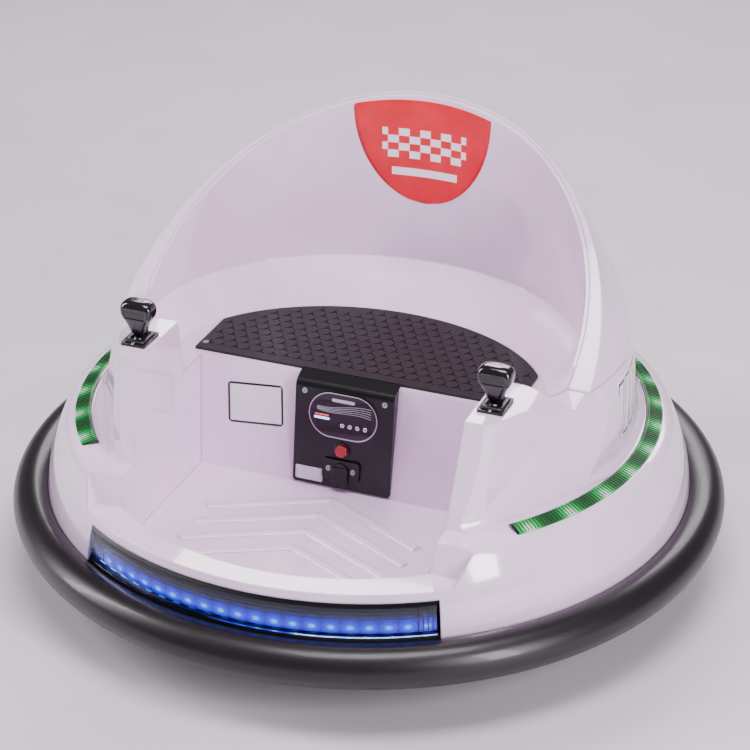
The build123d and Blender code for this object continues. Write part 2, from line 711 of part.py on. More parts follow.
# ================================================================ controls
# lever: a drum on a cross pin, and a flared grip; it rocks fore and aft in its slotted plate
lever_seat_z = console_top_z + fit_gap
for side, s in (("left", -1), ("right", 1)):
    pivot = Vector(s * lever_x, lever_y, lever_seat_z - lever_pin_drop)
    pin_plane = Plane(origin=pivot, x_dir=(0, 1, 0), z_dir=(1, 0, 0))
    with BuildPart() as base:
        with BuildSketch(Plane.XY.offset(lever_seat_z)):
            with Locations((pivot.X, lever_y)):
                RectangleRounded(lever_plate_w, lever_plate_l, lever_plate_r)
                Rectangle(lever_drum_w + 2 * fit_gap, 2 * lever_drum_r + 2 * fit_gap,
                          mode=Mode.SUBTRACT)
        extrude(amount=lever_plate_t)
        with BuildSketch(Plane.XY.offset(lever_seat_z)):
            ear_x = (lever_drum_w + lever_ear_t) / 2 + lever_ear_gap
            with Locations((pivot.X - ear_x, lever_y), (pivot.X + ear_x, lever_y)):
                Rectangle(lever_ear_t, lever_ear_w)
        extrude(amount=-lever_ear_h)
        with BuildSketch(pin_plane.offset(-lever_plate_w / 2)):
            Circle(lever_pin_r + bore_gap)
        extrude(amount=lever_plate_w, mode=Mode.SUBTRACT)
    base.part.label = f"lever_plate_{side}"
    export_step(base.part, f"parts/lever_plate_{side}.step")

    with BuildPart() as lever:
        pin_half = lever_drum_w / 2 + lever_ear_gap + lever_ear_t
        for half, radius in ((lever_drum_w / 2, lever_drum_r), (pin_half, lever_pin_r)):
            with BuildSketch(pin_plane.offset(-half)):
                Circle(radius)
            extrude(amount=2 * half)
        for up, w, d in ((grip_foot_h, grip_foot_w, grip_foot_d),
                         (grip_h - grip_head_h, grip_head_w, grip_head_d)):
            with BuildSketch(Plane.XY.offset(pivot.Z + up)):
                with Locations((pivot.X, pivot.Y)):
                    RectangleRounded(w, d, grip_corner_r)
        loft(ruled=True)
        with BuildSketch(Plane.XY.offset(pivot.Z + grip_h - grip_head_h)):
            with Locations((pivot.X, pivot.Y)):
                RectangleRounded(grip_head_w, grip_head_d, grip_corner_r)
        extrude(amount=grip_head_h)
    lever.part.label = f"lever_{side}"
    export_step(lever.part, f"parts/lever_{side}.step")

# control panel: its face stands steeper than the riser and rolls back over the deck's edge
riser_lean = (deck_edge_y - riser_foot_y) / (deck_z - floor_z)
panel_seat_y = riser_foot_y + riser_lean * (panel_foot_z - floor_z)
face_foot = Vector(0, panel_seat_y - panel_foot_d, panel_foot_z)
face_brow = Vector(0, deck_edge_y - panel_brow_d, panel_brow_z)
panel_back_y = mat_front_y - 5 * fit_gap
face_up = (face_brow - face_foot).normalized()
face_plane = Plane(origin=face_foot, x_dir=(1, 0, 0), z_dir=(0, -face_up.Z, face_up.Y))
with BuildPart() as panel:
    with BuildSketch(Plane.YZ.offset(-panel_w / 2)) as section:
        with BuildLine():
            Polyline((face_brow.Y, face_brow.Z), (face_foot.Y, face_foot.Z),
                     (panel_seat_y, panel_foot_z), (deck_edge_y, deck_z), (panel_back_y, deck_z),
                     (panel_back_y, deck_z + panel_lip), close=True)
        make_face()
        brow = (face_brow.Y, face_brow.Z)
        fillet(section.vertices().sort_by_distance(brow)[0], panel_brow_r)
    extrude(amount=panel_w)
    with BuildSketch(face_plane.offset(-panel_w)):
        with Locations((0, panel_w)):
            RectangleRounded(panel_w, 2 * panel_w, panel_corner_r)
    extrude(amount=2 * panel_w, mode=Mode.INTERSECT)
panel.part.label = "control_panel"
export_step(panel.part, "parts/control_panel.step")

with BuildPart() as dial:
    with BuildSketch(face_plane):
        with Locations((0, dial_up)):
            SlotOverall(dial_w, dial_h)
            SlotOverall(dial_w - 2 * dial_rim, dial_h - 2 * dial_rim, mode=Mode.SUBTRACT)
    extrude(amount=dial_rim)
    with BuildSketch(face_plane):
        with Locations((0, dial_up)):
            SlotOverall(dial_w - dial_rim, dial_h - dial_rim)
    extrude(amount=dial_rim / 2)
dial.part.label = "player_bezel"
export_step(dial.part, "parts/player_bezel.step")

with BuildPart() as switch:
    for height, radius in ((2, switch_r), (4, switch_r - 2)):
        with BuildSketch(face_plane):
            with Locations((0, switch_up)):
                Circle(radius)
        extrude(amount=height)
switch.part.label = "power_switch"
export_step(switch.part, "parts/power_switch.step")

with BuildPart() as socket:
    with BuildSketch(face_plane):
        with Locations((0, socket_up)):
            RectangleRounded(socket_w, socket_h, panel_corner_r)
    extrude(amount=3)
    with BuildSketch(face_plane.offset(3)):
        with Locations((0, socket_up)):
            Circle(8)
    extrude(amount=2)
socket.part.label = "charging_socket_cover"
export_step(socket.part, "parts/charging_socket_cover.step")
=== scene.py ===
import math

import bmesh
import bpy
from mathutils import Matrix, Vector
from mathutils.bvhtree import BVHTree


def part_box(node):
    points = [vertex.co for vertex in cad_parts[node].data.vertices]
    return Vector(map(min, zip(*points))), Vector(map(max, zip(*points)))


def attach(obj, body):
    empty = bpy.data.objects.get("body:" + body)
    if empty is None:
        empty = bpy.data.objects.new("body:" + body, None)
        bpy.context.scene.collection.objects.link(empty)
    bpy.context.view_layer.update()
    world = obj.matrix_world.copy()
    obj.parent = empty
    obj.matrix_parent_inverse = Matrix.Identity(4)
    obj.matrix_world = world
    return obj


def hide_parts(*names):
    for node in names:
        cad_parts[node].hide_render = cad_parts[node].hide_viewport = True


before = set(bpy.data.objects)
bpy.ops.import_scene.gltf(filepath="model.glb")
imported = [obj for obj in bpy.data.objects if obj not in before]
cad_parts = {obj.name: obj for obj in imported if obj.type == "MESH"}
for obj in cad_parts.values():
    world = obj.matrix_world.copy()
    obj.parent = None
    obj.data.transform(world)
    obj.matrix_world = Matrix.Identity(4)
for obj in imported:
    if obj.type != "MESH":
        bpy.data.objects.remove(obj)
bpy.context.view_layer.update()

# ---------------------------------------------------------------- camera
# A long lens on a tripod, ahead of the car, above it and to its right.
lens = bpy.data.cameras.new("camera")
lens.sensor_width = 36.0
lens.lens = 114.6
camera = bpy.data.objects.new("camera", lens)
bpy.context.collection.objects.link(camera)
camera.location = (0.8087, -1.9989, 1.3152)
camera.rotation_mode = "QUATERNION"
camera.rotation_quaternion = Vector((-0.33015, 0.82275, -0.46269)).to_track_quat("-Z", "Y")
bpy.context.scene.camera = camera


# ---------------------------------------------------------------- studio
# A plain pale floor of painted board under a soft sky, with soft boxes above,
# behind and at the sides, which give the glossy shell its long highlights.
def linear(hex_colour):
    """An sRGB hex colour as linear red, green, blue and alpha."""
    parts = [int(hex_colour[i:i + 2], 16) / 255 for i in (0, 2, 4)]
    return [c / 12.92 if c <= 0.04045 else ((c + 0.055) / 1.055) ** 2.4 for c in parts] + [1.0]


def node(tree, kind, inputs=None, **settings):
    """Add one node with its settings, and its inputs as values or as links."""
    made = tree.nodes.new(kind)
    for setting, value in settings.items():
        setattr(made, setting, value)
    for socket, value in (inputs or {}).items():
        if isinstance(value, bpy.types.NodeSocket):
            tree.links.new(value, made.inputs[socket])
        else:
            made.inputs[socket].default_value = value
    return made


def new_finish(name):
    """A new material: its node tree, its shader, and where each point of the piece lies."""
    material = bpy.data.materials.new(name)
    material.use_nodes = True
    tree = material.node_tree
    return material, tree, tree.nodes["Principled BSDF"], node(tree, "ShaderNodeTexCoord")


def tones(tree, amount, *stops):
    """A ramp through hex colours, each with the amount where it stands."""
    ramp = node(tree, "ShaderNodeValToRGB", {"Fac": amount})
    elements = ramp.color_ramp.elements
    while len(elements) < len(stops):
        elements.new(0.5)
    for element, (at, colour) in zip(elements, stops):
        element.position = at
        element.color = linear(colour)
    return ramp.outputs["Color"]


def painted_board():
    """Emulsion paint on board: pale and matt, with the faint mottle that a roller leaves."""
    material, tree, shader, place = new_finish("painted_board")
    mottle = node(tree, "ShaderNodeTexNoise", {"Vector": place.outputs["Object"], "Scale": 6.0})
    tree.links.new(tones(tree, mottle.outputs["Fac"], (0.3, "D2CFD3"), (0.7, "D8D5D9")),
                   shader.inputs["Base Color"])
    shader.inputs["Roughness"].default_value = 0.6
    return material


floor_reach = 12.0
floor_mesh = bpy.data.meshes.new("studio_floor")
floor_mesh.from_pydata([(x * floor_reach, y * floor_reach, 0.0)
                        for x, y in ((-1, -1), (1, -1), (1, 1), (-1, 1))], [], [(0, 1, 2, 3)])
floor_mesh.materials.append(painted_board())
studio_floor = bpy.data.objects.new("studio_floor", floor_mesh)
bpy.context.collection.objects.link(studio_floor)

world = bpy.data.worlds.new("soft_sky")
bpy.context.scene.world = world
world.use_nodes = True
sky = world.node_tree.nodes["Background"]
sky.inputs["Color"].default_value = linear("E9E3EE")
sky.inputs["Strength"].default_value = 0.24

# name, where it stands, what it faces, width, height, watts
for box_name, stands, faces, box_w, box_h, watts in (
        ("overhead_soft_box", (0.3, -0.5, 2.5), (0.0, 0.0, 0.2), 1.5, 0.9, 58.0),
        ("left_soft_box", (-2.1, -0.7, 1.3), (0.0, 0.0, 0.25), 0.35, 1.8, 54.0),
        ("right_soft_box", (2.0, -1.2, 1.1), (0.1, 0.0, 0.2), 0.4, 1.5, 62.0),
        ("back_soft_box", (-0.4, 2.3, 1.7), (0.0, 0.0, 0.3), 2.0, 0.6, 44.0)):
    lamp = bpy.data.lights.new(box_name, "AREA")
    lamp.shape = "RECTANGLE"
    lamp.size, lamp.size_y = box_w, box_h
    lamp.energy = watts
    lamp.color = linear("FFF8FF")[:3]
    light = bpy.data.objects.new(box_name, lamp)
    bpy.context.collection.objects.link(light)
    light.location = stands
    light.rotation_mode = "QUATERNION"
    light.rotation_quaternion = (Vector(faces) - Vector(stands)).to_track_quat("-Z", "Y")


# ---------------------------------------------------------------- body, hood and tub
# Three large mouldings in white polypropylene with a pearl tint, polished in the
# mould. The hood and the tub are screwed to the body along hidden flanges.
def moulded(name, dark, light, grain_mm, relief_mm, gloss, coat=0.0, edge_mm=0.0):
    """Moulded plastic: two near tones in slow clouds, and a grain in its relief and its gloss.
    With edge_mm, the tool's soft corner of that radius is on every edge."""
    material, tree, shader, place = new_finish(name)
    clouds = node(tree, "ShaderNodeTexNoise", {"Vector": place.outputs["Object"], "Scale": 9.0,
                                               "Detail": 4.0})
    tree.links.new(tones(tree, clouds.outputs["Fac"], (0.35, dark), (0.65, light)),
                   shader.inputs["Base Color"])
    grain = node(tree, "ShaderNodeTexNoise", {"Vector": place.outputs["Object"],
                                              "Scale": 1000.0 / grain_mm, "Detail": 2.0})
    sheen = node(tree, "ShaderNodeMapRange", {"Value": grain.outputs["Fac"], "To Min": gloss * 0.8,
                                              "To Max": gloss * 1.25})
    relief = node(tree, "ShaderNodeBump", {"Height": grain.outputs["Fac"],
                                           "Distance": relief_mm / 1000.0, "Strength": 0.6})
    if edge_mm:
        corner = node(tree, "ShaderNodeBevel", {"Radius": edge_mm / 1000.0}, samples=4)
        tree.links.new(corner.outputs["Normal"], relief.inputs["Normal"])
    tree.links.new(sheen.outputs["Result"], shader.inputs["Roughness"])
    tree.links.new(relief.outputs["Normal"], shader.inputs["Normal"])
    shader.inputs["IOR"].default_value = 1.49
    shader.inputs["Coat Weight"].default_value = coat
    shader.inputs["Coat Roughness"].default_value = 0.04
    return material


def dress(material, *names):
    """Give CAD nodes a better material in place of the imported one."""
    for name in names:
        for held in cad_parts[name].material_slots:
            held.material = material


# a slow waviness 30 mm across softens the polished skin's reflections
white_polypropylene = moulded("white_polypropylene", "E4C9E6", "EED6F0", 30.0, 0.05, 0.12,
                               0.8, 3.0)
dress(white_polypropylene, "body_shell", "hood_shell", "cockpit_tub")


# ---------------------------------------------------------------- footwell ribs
# The footwell's floor is stiffened by low rounded ribs in chevrons, moulded with
# the tub, which also stop a child's shoes from sliding.
def geometry_tree(name, **inputs):
    """A geometry tree with a named input for each size or material, and one mesh out."""
    tree = bpy.data.node_groups.new(name, "GeometryNodeTree")
    tree.interface.new_socket("Geometry", in_out="INPUT", socket_type="NodeSocketGeometry")
    for label, kind in inputs.items():
        tree.interface.new_socket(label, in_out="INPUT", socket_type="NodeSocket" + kind)
    tree.interface.new_socket("Geometry", in_out="OUTPUT", socket_type="NodeSocketGeometry")
    return tree, node(tree, "NodeGroupInput").outputs


def deliver(tree, mesh, material):
    """End a tree: instances made real, faces smooth, the material set."""
    real = node(tree, "GeometryNodeRealizeInstances", {"Geometry": mesh})
    smooth = node(tree, "GeometryNodeSetShadeSmooth", {"Geometry": real.outputs["Geometry"]})
    coated = node(tree, "GeometryNodeSetMaterial", {"Geometry": smooth.outputs["Geometry"],
                                                    "Material": material})
    node(tree, "NodeGroupOutput", {"Geometry": coated.outputs["Geometry"]})


def grown(name, tree, body, slot, seeds=(), facing=(), edges=(), **sizes):
    """Run a tree on seed points, keep its result as a plain mesh, and set it on its body."""
    mesh = bpy.data.meshes.new(name + "_seeds")
    mesh.from_pydata([tuple(seed) for seed in seeds], list(edges), [])
    if facing:
        held = mesh.attributes.new("facing", "FLOAT_VECTOR", "POINT")
        held.data.foreach_set("vector", [c for way in facing for c in way])
    piece = bpy.data.objects.new(name, mesh)
    bpy.context.collection.objects.link(piece)
    growth = piece.modifiers.new("growth", "NODES")
    growth.node_group = tree
    for item in tree.interface.items_tree:
        if item.in_out == "INPUT" and item.name.replace(" ", "_").lower() in sizes:
            growth[item.identifier] = sizes[item.name.replace(" ", "_").lower()]
    ready = piece.evaluated_get(bpy.context.evaluated_depsgraph_get())
    grown_mesh = bpy.data.meshes.new_from_object(ready)
    piece.modifiers.remove(growth)
    piece.data = grown_mesh
    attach(piece, body)
    return piece


def chevron_ribs():
    """Each seed point is a chevron's tip: two arms run outward and forward from it."""
    tree, given = geometry_tree("chevron_ribs", Arm="Float", Sweep="Float", Width="Float",
                                Height="Float", Plastic="Material")
    forward = node(tree, "ShaderNodeMath", {0: given["Arm"], 1: given["Sweep"]},
                   operation="MULTIPLY")
    back = node(tree, "ShaderNodeMath", {0: forward.outputs[0], 1: -1.0}, operation="MULTIPLY")
    outward = node(tree, "ShaderNodeMath", {0: given["Arm"], 1: -1.0}, operation="MULTIPLY")
    right_end = node(tree, "ShaderNodeCombineXYZ", {"X": given["Arm"], "Y": back.outputs[0]})
    left_end = node(tree, "ShaderNodeCombineXYZ", {"X": outward.outputs[0], "Y": back.outputs[0]})
    arms = node(tree, "GeometryNodeJoinGeometry")
    for end in (right_end, left_end):
        arm = node(tree, "GeometryNodeCurvePrimitiveLine", {"End": end.outputs[0]})
        tree.links.new(arm.outputs["Curve"], arms.inputs["Geometry"])
    half = node(tree, "ShaderNodeMath", {0: given["Width"], 1: 0.5}, operation="MULTIPLY")
    section = node(tree, "GeometryNodeCurvePrimitiveCircle", {"Resolution": 16,
                                                              "Radius": half.outputs[0]})
    rib = node(tree, "GeometryNodeCurveToMesh", {"Curve": arms.outputs["Geometry"],
                                                 "Profile Curve": section.outputs["Curve"],
                                                 "Fill Caps": True})
    flat = node(tree, "ShaderNodeMath", {0: given["Height"], 1: half.outputs[0]},
                operation="DIVIDE")
    scale = node(tree, "ShaderNodeCombineXYZ", {"X": 1.0, "Y": 1.0, "Z": flat.outputs[0]})
    low = node(tree, "GeometryNodeTransform", {"Geometry": rib.outputs["Mesh"],
                                               "Scale": scale.outputs[0]})
    each = node(tree, "GeometryNodeInstanceOnPoints", {"Points": given["Geometry"],
                                                       "Instance": low.outputs["Geometry"]})
    deliver(tree, each.outputs["Instances"], given["Plastic"])
    return tree


def surface_of(*names):
    """The skin of CAD nodes as one search tree, to lay or seat small pieces on."""
    corners, faces = [], []
    for name in names:
        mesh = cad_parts[name].data
        first = len(corners)
        corners += [vertex.co.copy() for vertex in mesh.vertices]
        faces += [[first + corner for corner in face.vertices] for face in mesh.polygons]
    return BVHTree.FromPolygons(corners, faces)


tub_skin = surface_of("cockpit_tub")
floor_top = tub_skin.ray_cast(Vector((0.0, -0.16, 0.3)), Vector((0, 0, -1)))[0].z
rib_pitch, rib_count = 0.032, 4
rib_seeds = [(0.0, -0.098 - rib_pitch * n, floor_top) for n in range(rib_count)]
grown("footwell_ribs", chevron_ribs(), "car", "white_shell", rib_seeds, arm=0.112, sweep=0.5,
      width=0.011, height=0.0026, plastic=white_polypropylene)


# ---------------------------------------------------------------- printed vinyl
# Stickers cut from printed vinyl: a red shield with a chequer in the hood, a row of
# outlined bars on each flank, and two blank white labels, pressed on by hand.
def placed(built, name, finish, body):
    """End a bmesh as a piece with one finish, on its body."""
    mesh = bpy.data.meshes.new(name)
    built.to_mesh(mesh)
    built.free()
    mesh.materials.append(finish)
    piece = bpy.data.objects.new(name, mesh)
    bpy.context.collection.objects.link(piece)
    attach(piece, body)
    return piece


def sticker(name, skin, middle, right, out, half_width, height, rows, columns, print_finish,
            arch=0.0, thick=0.00015):
    """A thin sheet laid on a skin along -out. Its UV runs over its own width and height."""
    out, right = Vector(out).normalized(), Vector(right).normalized()
    up = out.cross(right)
    widest = max(half_width(n / rows) for n in range(rows + 1))
    built = bmesh.new()
    uv_map = built.loops.layers.uv.new("print")
    grid, at = [], {}
    for row in range(rows + 1):
        t = row / rows
        line = []
        for column in range(columns + 1):
            s = 2 * column / columns - 1
            u, v = s * half_width(t), (0.5 - t) * height + arch * (1 - s * s) * (1 - t)
            start = Vector(middle) + right * u + up * v + out * 0.1
            hit, normal, _, _ = skin.ray_cast(start, -out)
            if normal.dot(out) < 0:
                normal = -normal
            corner = built.verts.new(hit + normal * 2 * thick)
            at[corner] = (u / (2 * widest) + 0.5, v / height + 0.5)
            line.append(corner)
        grid.append(line)
    for upper, lower in zip(grid, grid[1:]):
        for n in range(columns):
            face = built.faces.new((lower[n], lower[n + 1], upper[n + 1], upper[n]))
            face.smooth = True
            for loop in face.loops:
                loop[uv_map].uv = at[loop.vert]
    piece = placed(built, name, print_finish, "car")
    sheet = piece.modifiers.new("vinyl", "SOLIDIFY")
    sheet.thickness, sheet.offset = thick, -1.0
    return piece


def rounded_ends(half_w, height, radius):
    """The half width of a rounded rectangle, from its top at 0 to its foot at 1."""
    def at(t):
        edge = min(t, 1 - t) * height
        if edge >= radius:
            return half_w
        return half_w - radius + math.sqrt(max(0.0, radius ** 2 - (radius - edge) ** 2))
    return at


def print_area(tree, uv, low_u, high_u, low_v, high_v):
    """1 inside a box of the print, 0 outside."""
    split = node(tree, "ShaderNodeSeparateXYZ", {"Vector": uv})
    area = None
    for axis, operation, limit in (("X", "GREATER_THAN", low_u), ("X", "LESS_THAN", high_u),
                                   ("Y", "GREATER_THAN", low_v), ("Y", "LESS_THAN", high_v)):
        test = node(tree, "ShaderNodeMath", {0: split.outputs[axis], 1: limit},
                    operation=operation).outputs[0]
        area = test if area is None else node(tree, "ShaderNodeMath", {0: area, 1: test},
                                              operation="MULTIPLY").outputs[0]
    return area


def ink(tree, under, area, colour):
    """Lay one ink over what is printed under it, where area is 1."""
    mix = node(tree, "ShaderNodeMix", {0: area, 6: under, 7: linear(colour)}, data_type="RGBA")
    return mix.outputs[2]


def vinyl(name, dark, light):
    """Calendered vinyl with a gloss laminate: an even ink with a slight mottle."""
    material, tree, shader, place = new_finish(name)
    mottle = node(tree, "ShaderNodeTexNoise", {"Vector": place.outputs["Object"], "Scale": 40.0})
    shader.inputs["Roughness"].default_value = 0.22
    shader.inputs["IOR"].default_value = 1.53
    ground = tones(tree, mottle.outputs["Fac"], (0.35, dark), (0.65, light))
    tree.links.new(ground, shader.inputs["Base Color"])
    return material, tree, shader, place.outputs["UV"], ground


shield_print, tree, shader, uv, ground = vinyl("red_shield_vinyl", "D40020", "E0062A")
chequer = node(tree, "ShaderNodeTexChecker", {"Vector": uv, "Scale": 13.0,
                                              "Color1": (1, 1, 1, 1), "Color2": (0, 0, 0, 1)})
field = print_area(tree, uv, 2.5 / 13, 10.5 / 13, 6 / 13, 10 / 13)
marks = node(tree, "ShaderNodeMath", {0: chequer.outputs["Fac"], 1: field}, operation="MULTIPLY")
bar = print_area(tree, uv, 0.26, 0.74, 0.28, 0.36)
tree.links.new(ink(tree, ink(tree, ground, marks.outputs[0], "F2ECF2"), bar, "F2ECF2"),
               shader.inputs["Base Color"])
sticker("hood_shield", tub_skin, (-0.006, 0.0, 0.3625), (1, 0, 0), (0, -1, 0),
        lambda t: 0.075 * math.sqrt(max(0.0004, 1 - t * t)), 0.107, 40, 30, shield_print, 0.008)

flank_print, tree, shader, uv, ground = vinyl("outlined_bar_vinyl", "E3D8E5", "EADFEC")
slant = node(tree, "ShaderNodeSeparateXYZ", {"Vector": uv})
lean = node(tree, "ShaderNodeMath", {0: slant.outputs["Y"], 1: 0.3}, operation="MULTIPLY")
across = node(tree, "ShaderNodeMath", {0: slant.outputs["X"], 1: lean.outputs[0]},
              operation="SUBTRACT")
count = node(tree, "ShaderNodeMath", {0: across.outputs[0], 1: 3.6}, operation="MULTIPLY")
stripe = node(tree, "ShaderNodeMath", {0: count.outputs[0]}, operation="FRACT")
bar_uv = node(tree, "ShaderNodeCombineXYZ", {"X": stripe.outputs[0], "Y": slant.outputs["Y"]})
outer = print_area(tree, bar_uv.outputs[0], 0.1, 0.9, 0.06, 0.94)
inner = print_area(tree, bar_uv.outputs[0], 0.19, 0.81, 0.1, 0.9)
tree.links.new(ink(tree, ink(tree, ground, outer, "2A2430"), inner, "E6DBE8"),
               shader.inputs["Base Color"])
flank_skin = surface_of("body_shell")
for side, s in (("left", -1), ("right", 1)):
    sticker(f"flank_bars_{side}", flank_skin, (s * 0.2, 0.024, 0.208), (0, s, 0), (s, 0, 0),
            rounded_ends(0.036, 0.062, 0.003), 0.062, 24, 24, flank_print)


def bordered_label(name, border, half_w, height):
    """White paper vinyl, blank but for a black border with rounded corners."""
    material, tree, shader, uv, ground = vinyl(name, "DCD2DE", "E4DAE6")
    side = border / (2 * half_w)
    end = border / height
    blank = print_area(tree, uv, side, 1 - side, end, 1 - end)
    tree.links.new(ink(tree, tones(tree, 0.5, (0.0, "1B161D"), (1.0, "241E26")), blank, "E4DAE6"),
                   shader.inputs["Base Color"])
    return material


label_lean = math.radians(5.0)
sticker("riser_label", tub_skin, (-0.100, 0.0, 0.1665),
        (math.cos(label_lean), 0, math.sin(label_lean)), (0, -1, 0),
        rounded_ends(0.0305, 0.042, 0.003), 0.042, 20, 12,
        bordered_label("bordered_label_vinyl", 0.0022, 0.0305, 0.042))

# ---------------------------------------------------------------- bumper ring
# A hollow ring of black vinyl, blown in one piece and clamped by its inner tongue
# between the pan and the body. Its skin is satin, with a leather grain.
# the real grain is under 1 mm; it is drawn at 2.5 mm so that it shows
satin_vinyl = moulded("satin_black_vinyl", "0F0B0E", "171216", 2.5, 0.05, 0.36, 0.1)
dress(satin_vinyl, "bumper_ring")

# ---------------------------------------------------------------- front lamp
# A curved housing in gloss black ABS let into the skirt, with a strip of 21 blue
# lamps low on its reflector and a clear acrylic cover snapped over them.
gloss_black = moulded("gloss_black_abs", "070709", "0C0C10", 18.0, 0.02, 0.07, 0.6, 0.8)
dress(gloss_black, "front_lamp_housing")
housing_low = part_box("front_lamp_housing")[0]
led_low, led_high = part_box("front_lamp_leds")
cover_low, cover_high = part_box("front_lamp_cover")
lamp_half_turn = math.atan2(cover_high.x, -cover_high.y)
led_count = 21


def strip(name, profile, from_angle, to_angle, steps, finish, body="car"):
    """A profile of (radius, height) points swept about the car's axis, closed at both ends.
    The angles are from straight ahead, to the right. UV runs along it and round its profile."""
    built = bmesh.new()
    uv_map = built.loops.layers.uv.new("along")
    rings = []
    for n in range(steps + 1):
        turn = from_angle + (to_angle - from_angle) * n / steps
        rings.append([built.verts.new((r * math.sin(turn), -r * math.cos(turn), z))
                      for r, z in profile])
    sides = len(profile)
    for n in range(steps):
        for k in range(sides):
            nxt = (k + 1) % sides
            face = built.faces.new((rings[n][k], rings[n + 1][k], rings[n + 1][nxt],
                                    rings[n][nxt]))
            for loop, uv in zip(face.loops, ((n, k), (n + 1, k), (n + 1, k + 1), (n, k + 1))):
                loop[uv_map].uv = (uv[0] / steps, uv[1] / sides)
    for ring, u in ((rings[0], 0.0), (rings[-1], 1.0)):
        end = built.faces.new(ring)
        for loop in end.loops:
            loop[uv_map].uv = (u, 0.5)
    bmesh.ops.recalc_face_normals(built, faces=built.faces)
    return placed(built, name, finish, body)


def lit_strip(name, lamps, along_at_lamp, row_v, core, glow, far, dark, watts, reach,
              spread=1.0):
    """A moulded strip lit from behind by a row of lamps: hot round spots, a coloured haze
    between them, and dark plastic where the light doesn't reach. Its UV runs along the strip."""
    material, tree, shader, place = new_finish(name)
    split = node(tree, "ShaderNodeSeparateXYZ", {"Vector": place.outputs["UV"]})
    along = node(tree, "ShaderNodeMath", {0: split.outputs["X"], 1: float(lamps)},
                 operation="MULTIPLY")
    phase = node(tree, "ShaderNodeMath", {0: along.outputs[0], 1: 0.5 - along_at_lamp},
                 operation="ADD")
    one = node(tree, "ShaderNodeMath", {0: phase.outputs[0]}, operation="FRACT")
    off = node(tree, "ShaderNodeMath", {0: one.outputs[0], 1: 0.5}, operation="SUBTRACT")
    tall = node(tree, "ShaderNodeMath", {0: split.outputs["Y"], 1: row_v}, operation="SUBTRACT")
    wide = node(tree, "ShaderNodeMath", {0: tall.outputs[0], 1: reach}, operation="MULTIPLY")
    spot = node(tree, "ShaderNodeCombineXYZ", {"X": off.outputs[0], "Y": wide.outputs[0]})
    away = node(tree, "ShaderNodeVectorMath", {0: spot.outputs[0]}, operation="LENGTH")
    near = node(tree, "ShaderNodeMath", {0: away.outputs["Value"], 1: spread},
                operation="DIVIDE")
    tree.links.new(tones(tree, near.outputs[0], (0.1, core), (0.24, glow), (0.5, far),
                         (1.0, dark)), shader.inputs["Emission Color"])
    shader.inputs["Emission Strength"].default_value = watts
    shader.inputs["Base Color"].default_value = linear(dark)
    shader.inputs["Roughness"].default_value = 0.4
    return material


# the lit reflector behind the lamps, a thin strip on the housing's back wall
reflector_low, reflector_high = cover_low.z + 0.0006, cover_high.z - 0.0006
reflector_mid = (reflector_low + reflector_high) / 2
led_z = (led_low.z + led_high.z) / 2
led_v = 0.25 * (led_z - reflector_low) / (reflector_high - reflector_low)
blue_glow = lit_strip("blue_lit_reflector", led_count, 0.5, led_v, "7CE0FF", "0048FF", "0008C0",
                      "00000A", 1.6, 8.5)
reflector_depth, reflector_thick = 0.0085, 0.0006
face_r = -housing_low.y - reflector_depth
strip("front_lamp_reflector", [(face_r + reflector_thick, reflector_low),
                               (face_r + reflector_thick, reflector_high),
                               (face_r, reflector_high), (face_r, reflector_low)],
      -lamp_half_turn * 0.985, lamp_half_turn * 0.985, 126, blue_glow)


def glowing(name, core, rim, watts):
    """A lamp under its own small lens: white-hot in the middle, coloured at its rim."""
    material, tree, shader, place = new_finish(name)
    facing = node(tree, "ShaderNodeLayerWeight", {"Blend": 0.35})
    tree.links.new(tones(tree, facing.outputs["Facing"], (0.0, core), (0.6, rim)),
                   shader.inputs["Emission Color"])
    shader.inputs["Emission Strength"].default_value = watts
    shader.inputs["Base Color"].default_value = linear(rim)
    return material


# fine black louvres lie across the reflector
for n, louvre_z in enumerate((0.58, 0.76)):
    z = reflector_low + (reflector_high - reflector_low) * louvre_z
    louvre = [(face_r + out, z + up) for out, up in (
        (0.0013, -0.0002), (0.0013, 0.0002), (0.0005, 0.0003), (0.0005, -0.0003))]
    strip(f"front_lamp_louvre_{n + 1}", louvre,
          -lamp_half_turn * 0.98, lamp_half_turn * 0.98, 126, gloss_black)
dress(glowing("blue_led_lens", "C4F8FF", "6CD0FF", 26.0), "front_lamp_leds")

clear_acrylic, tree, shader, place = new_finish("clear_blue_acrylic")
streaks = node(tree, "ShaderNodeTexNoise", {"Vector": place.outputs["Object"], "Scale": 90.0})
tree.links.new(tones(tree, streaks.outputs["Fac"], (0.3, "B4C4FF"), (0.7, "C2D0FF")),
               shader.inputs["Base Color"])
shader.inputs["Transmission Weight"].default_value = 1.0
shader.inputs["Roughness"].default_value = 0.02
shader.inputs["IOR"].default_value = 1.49
dress(clear_acrylic, "front_lamp_cover")


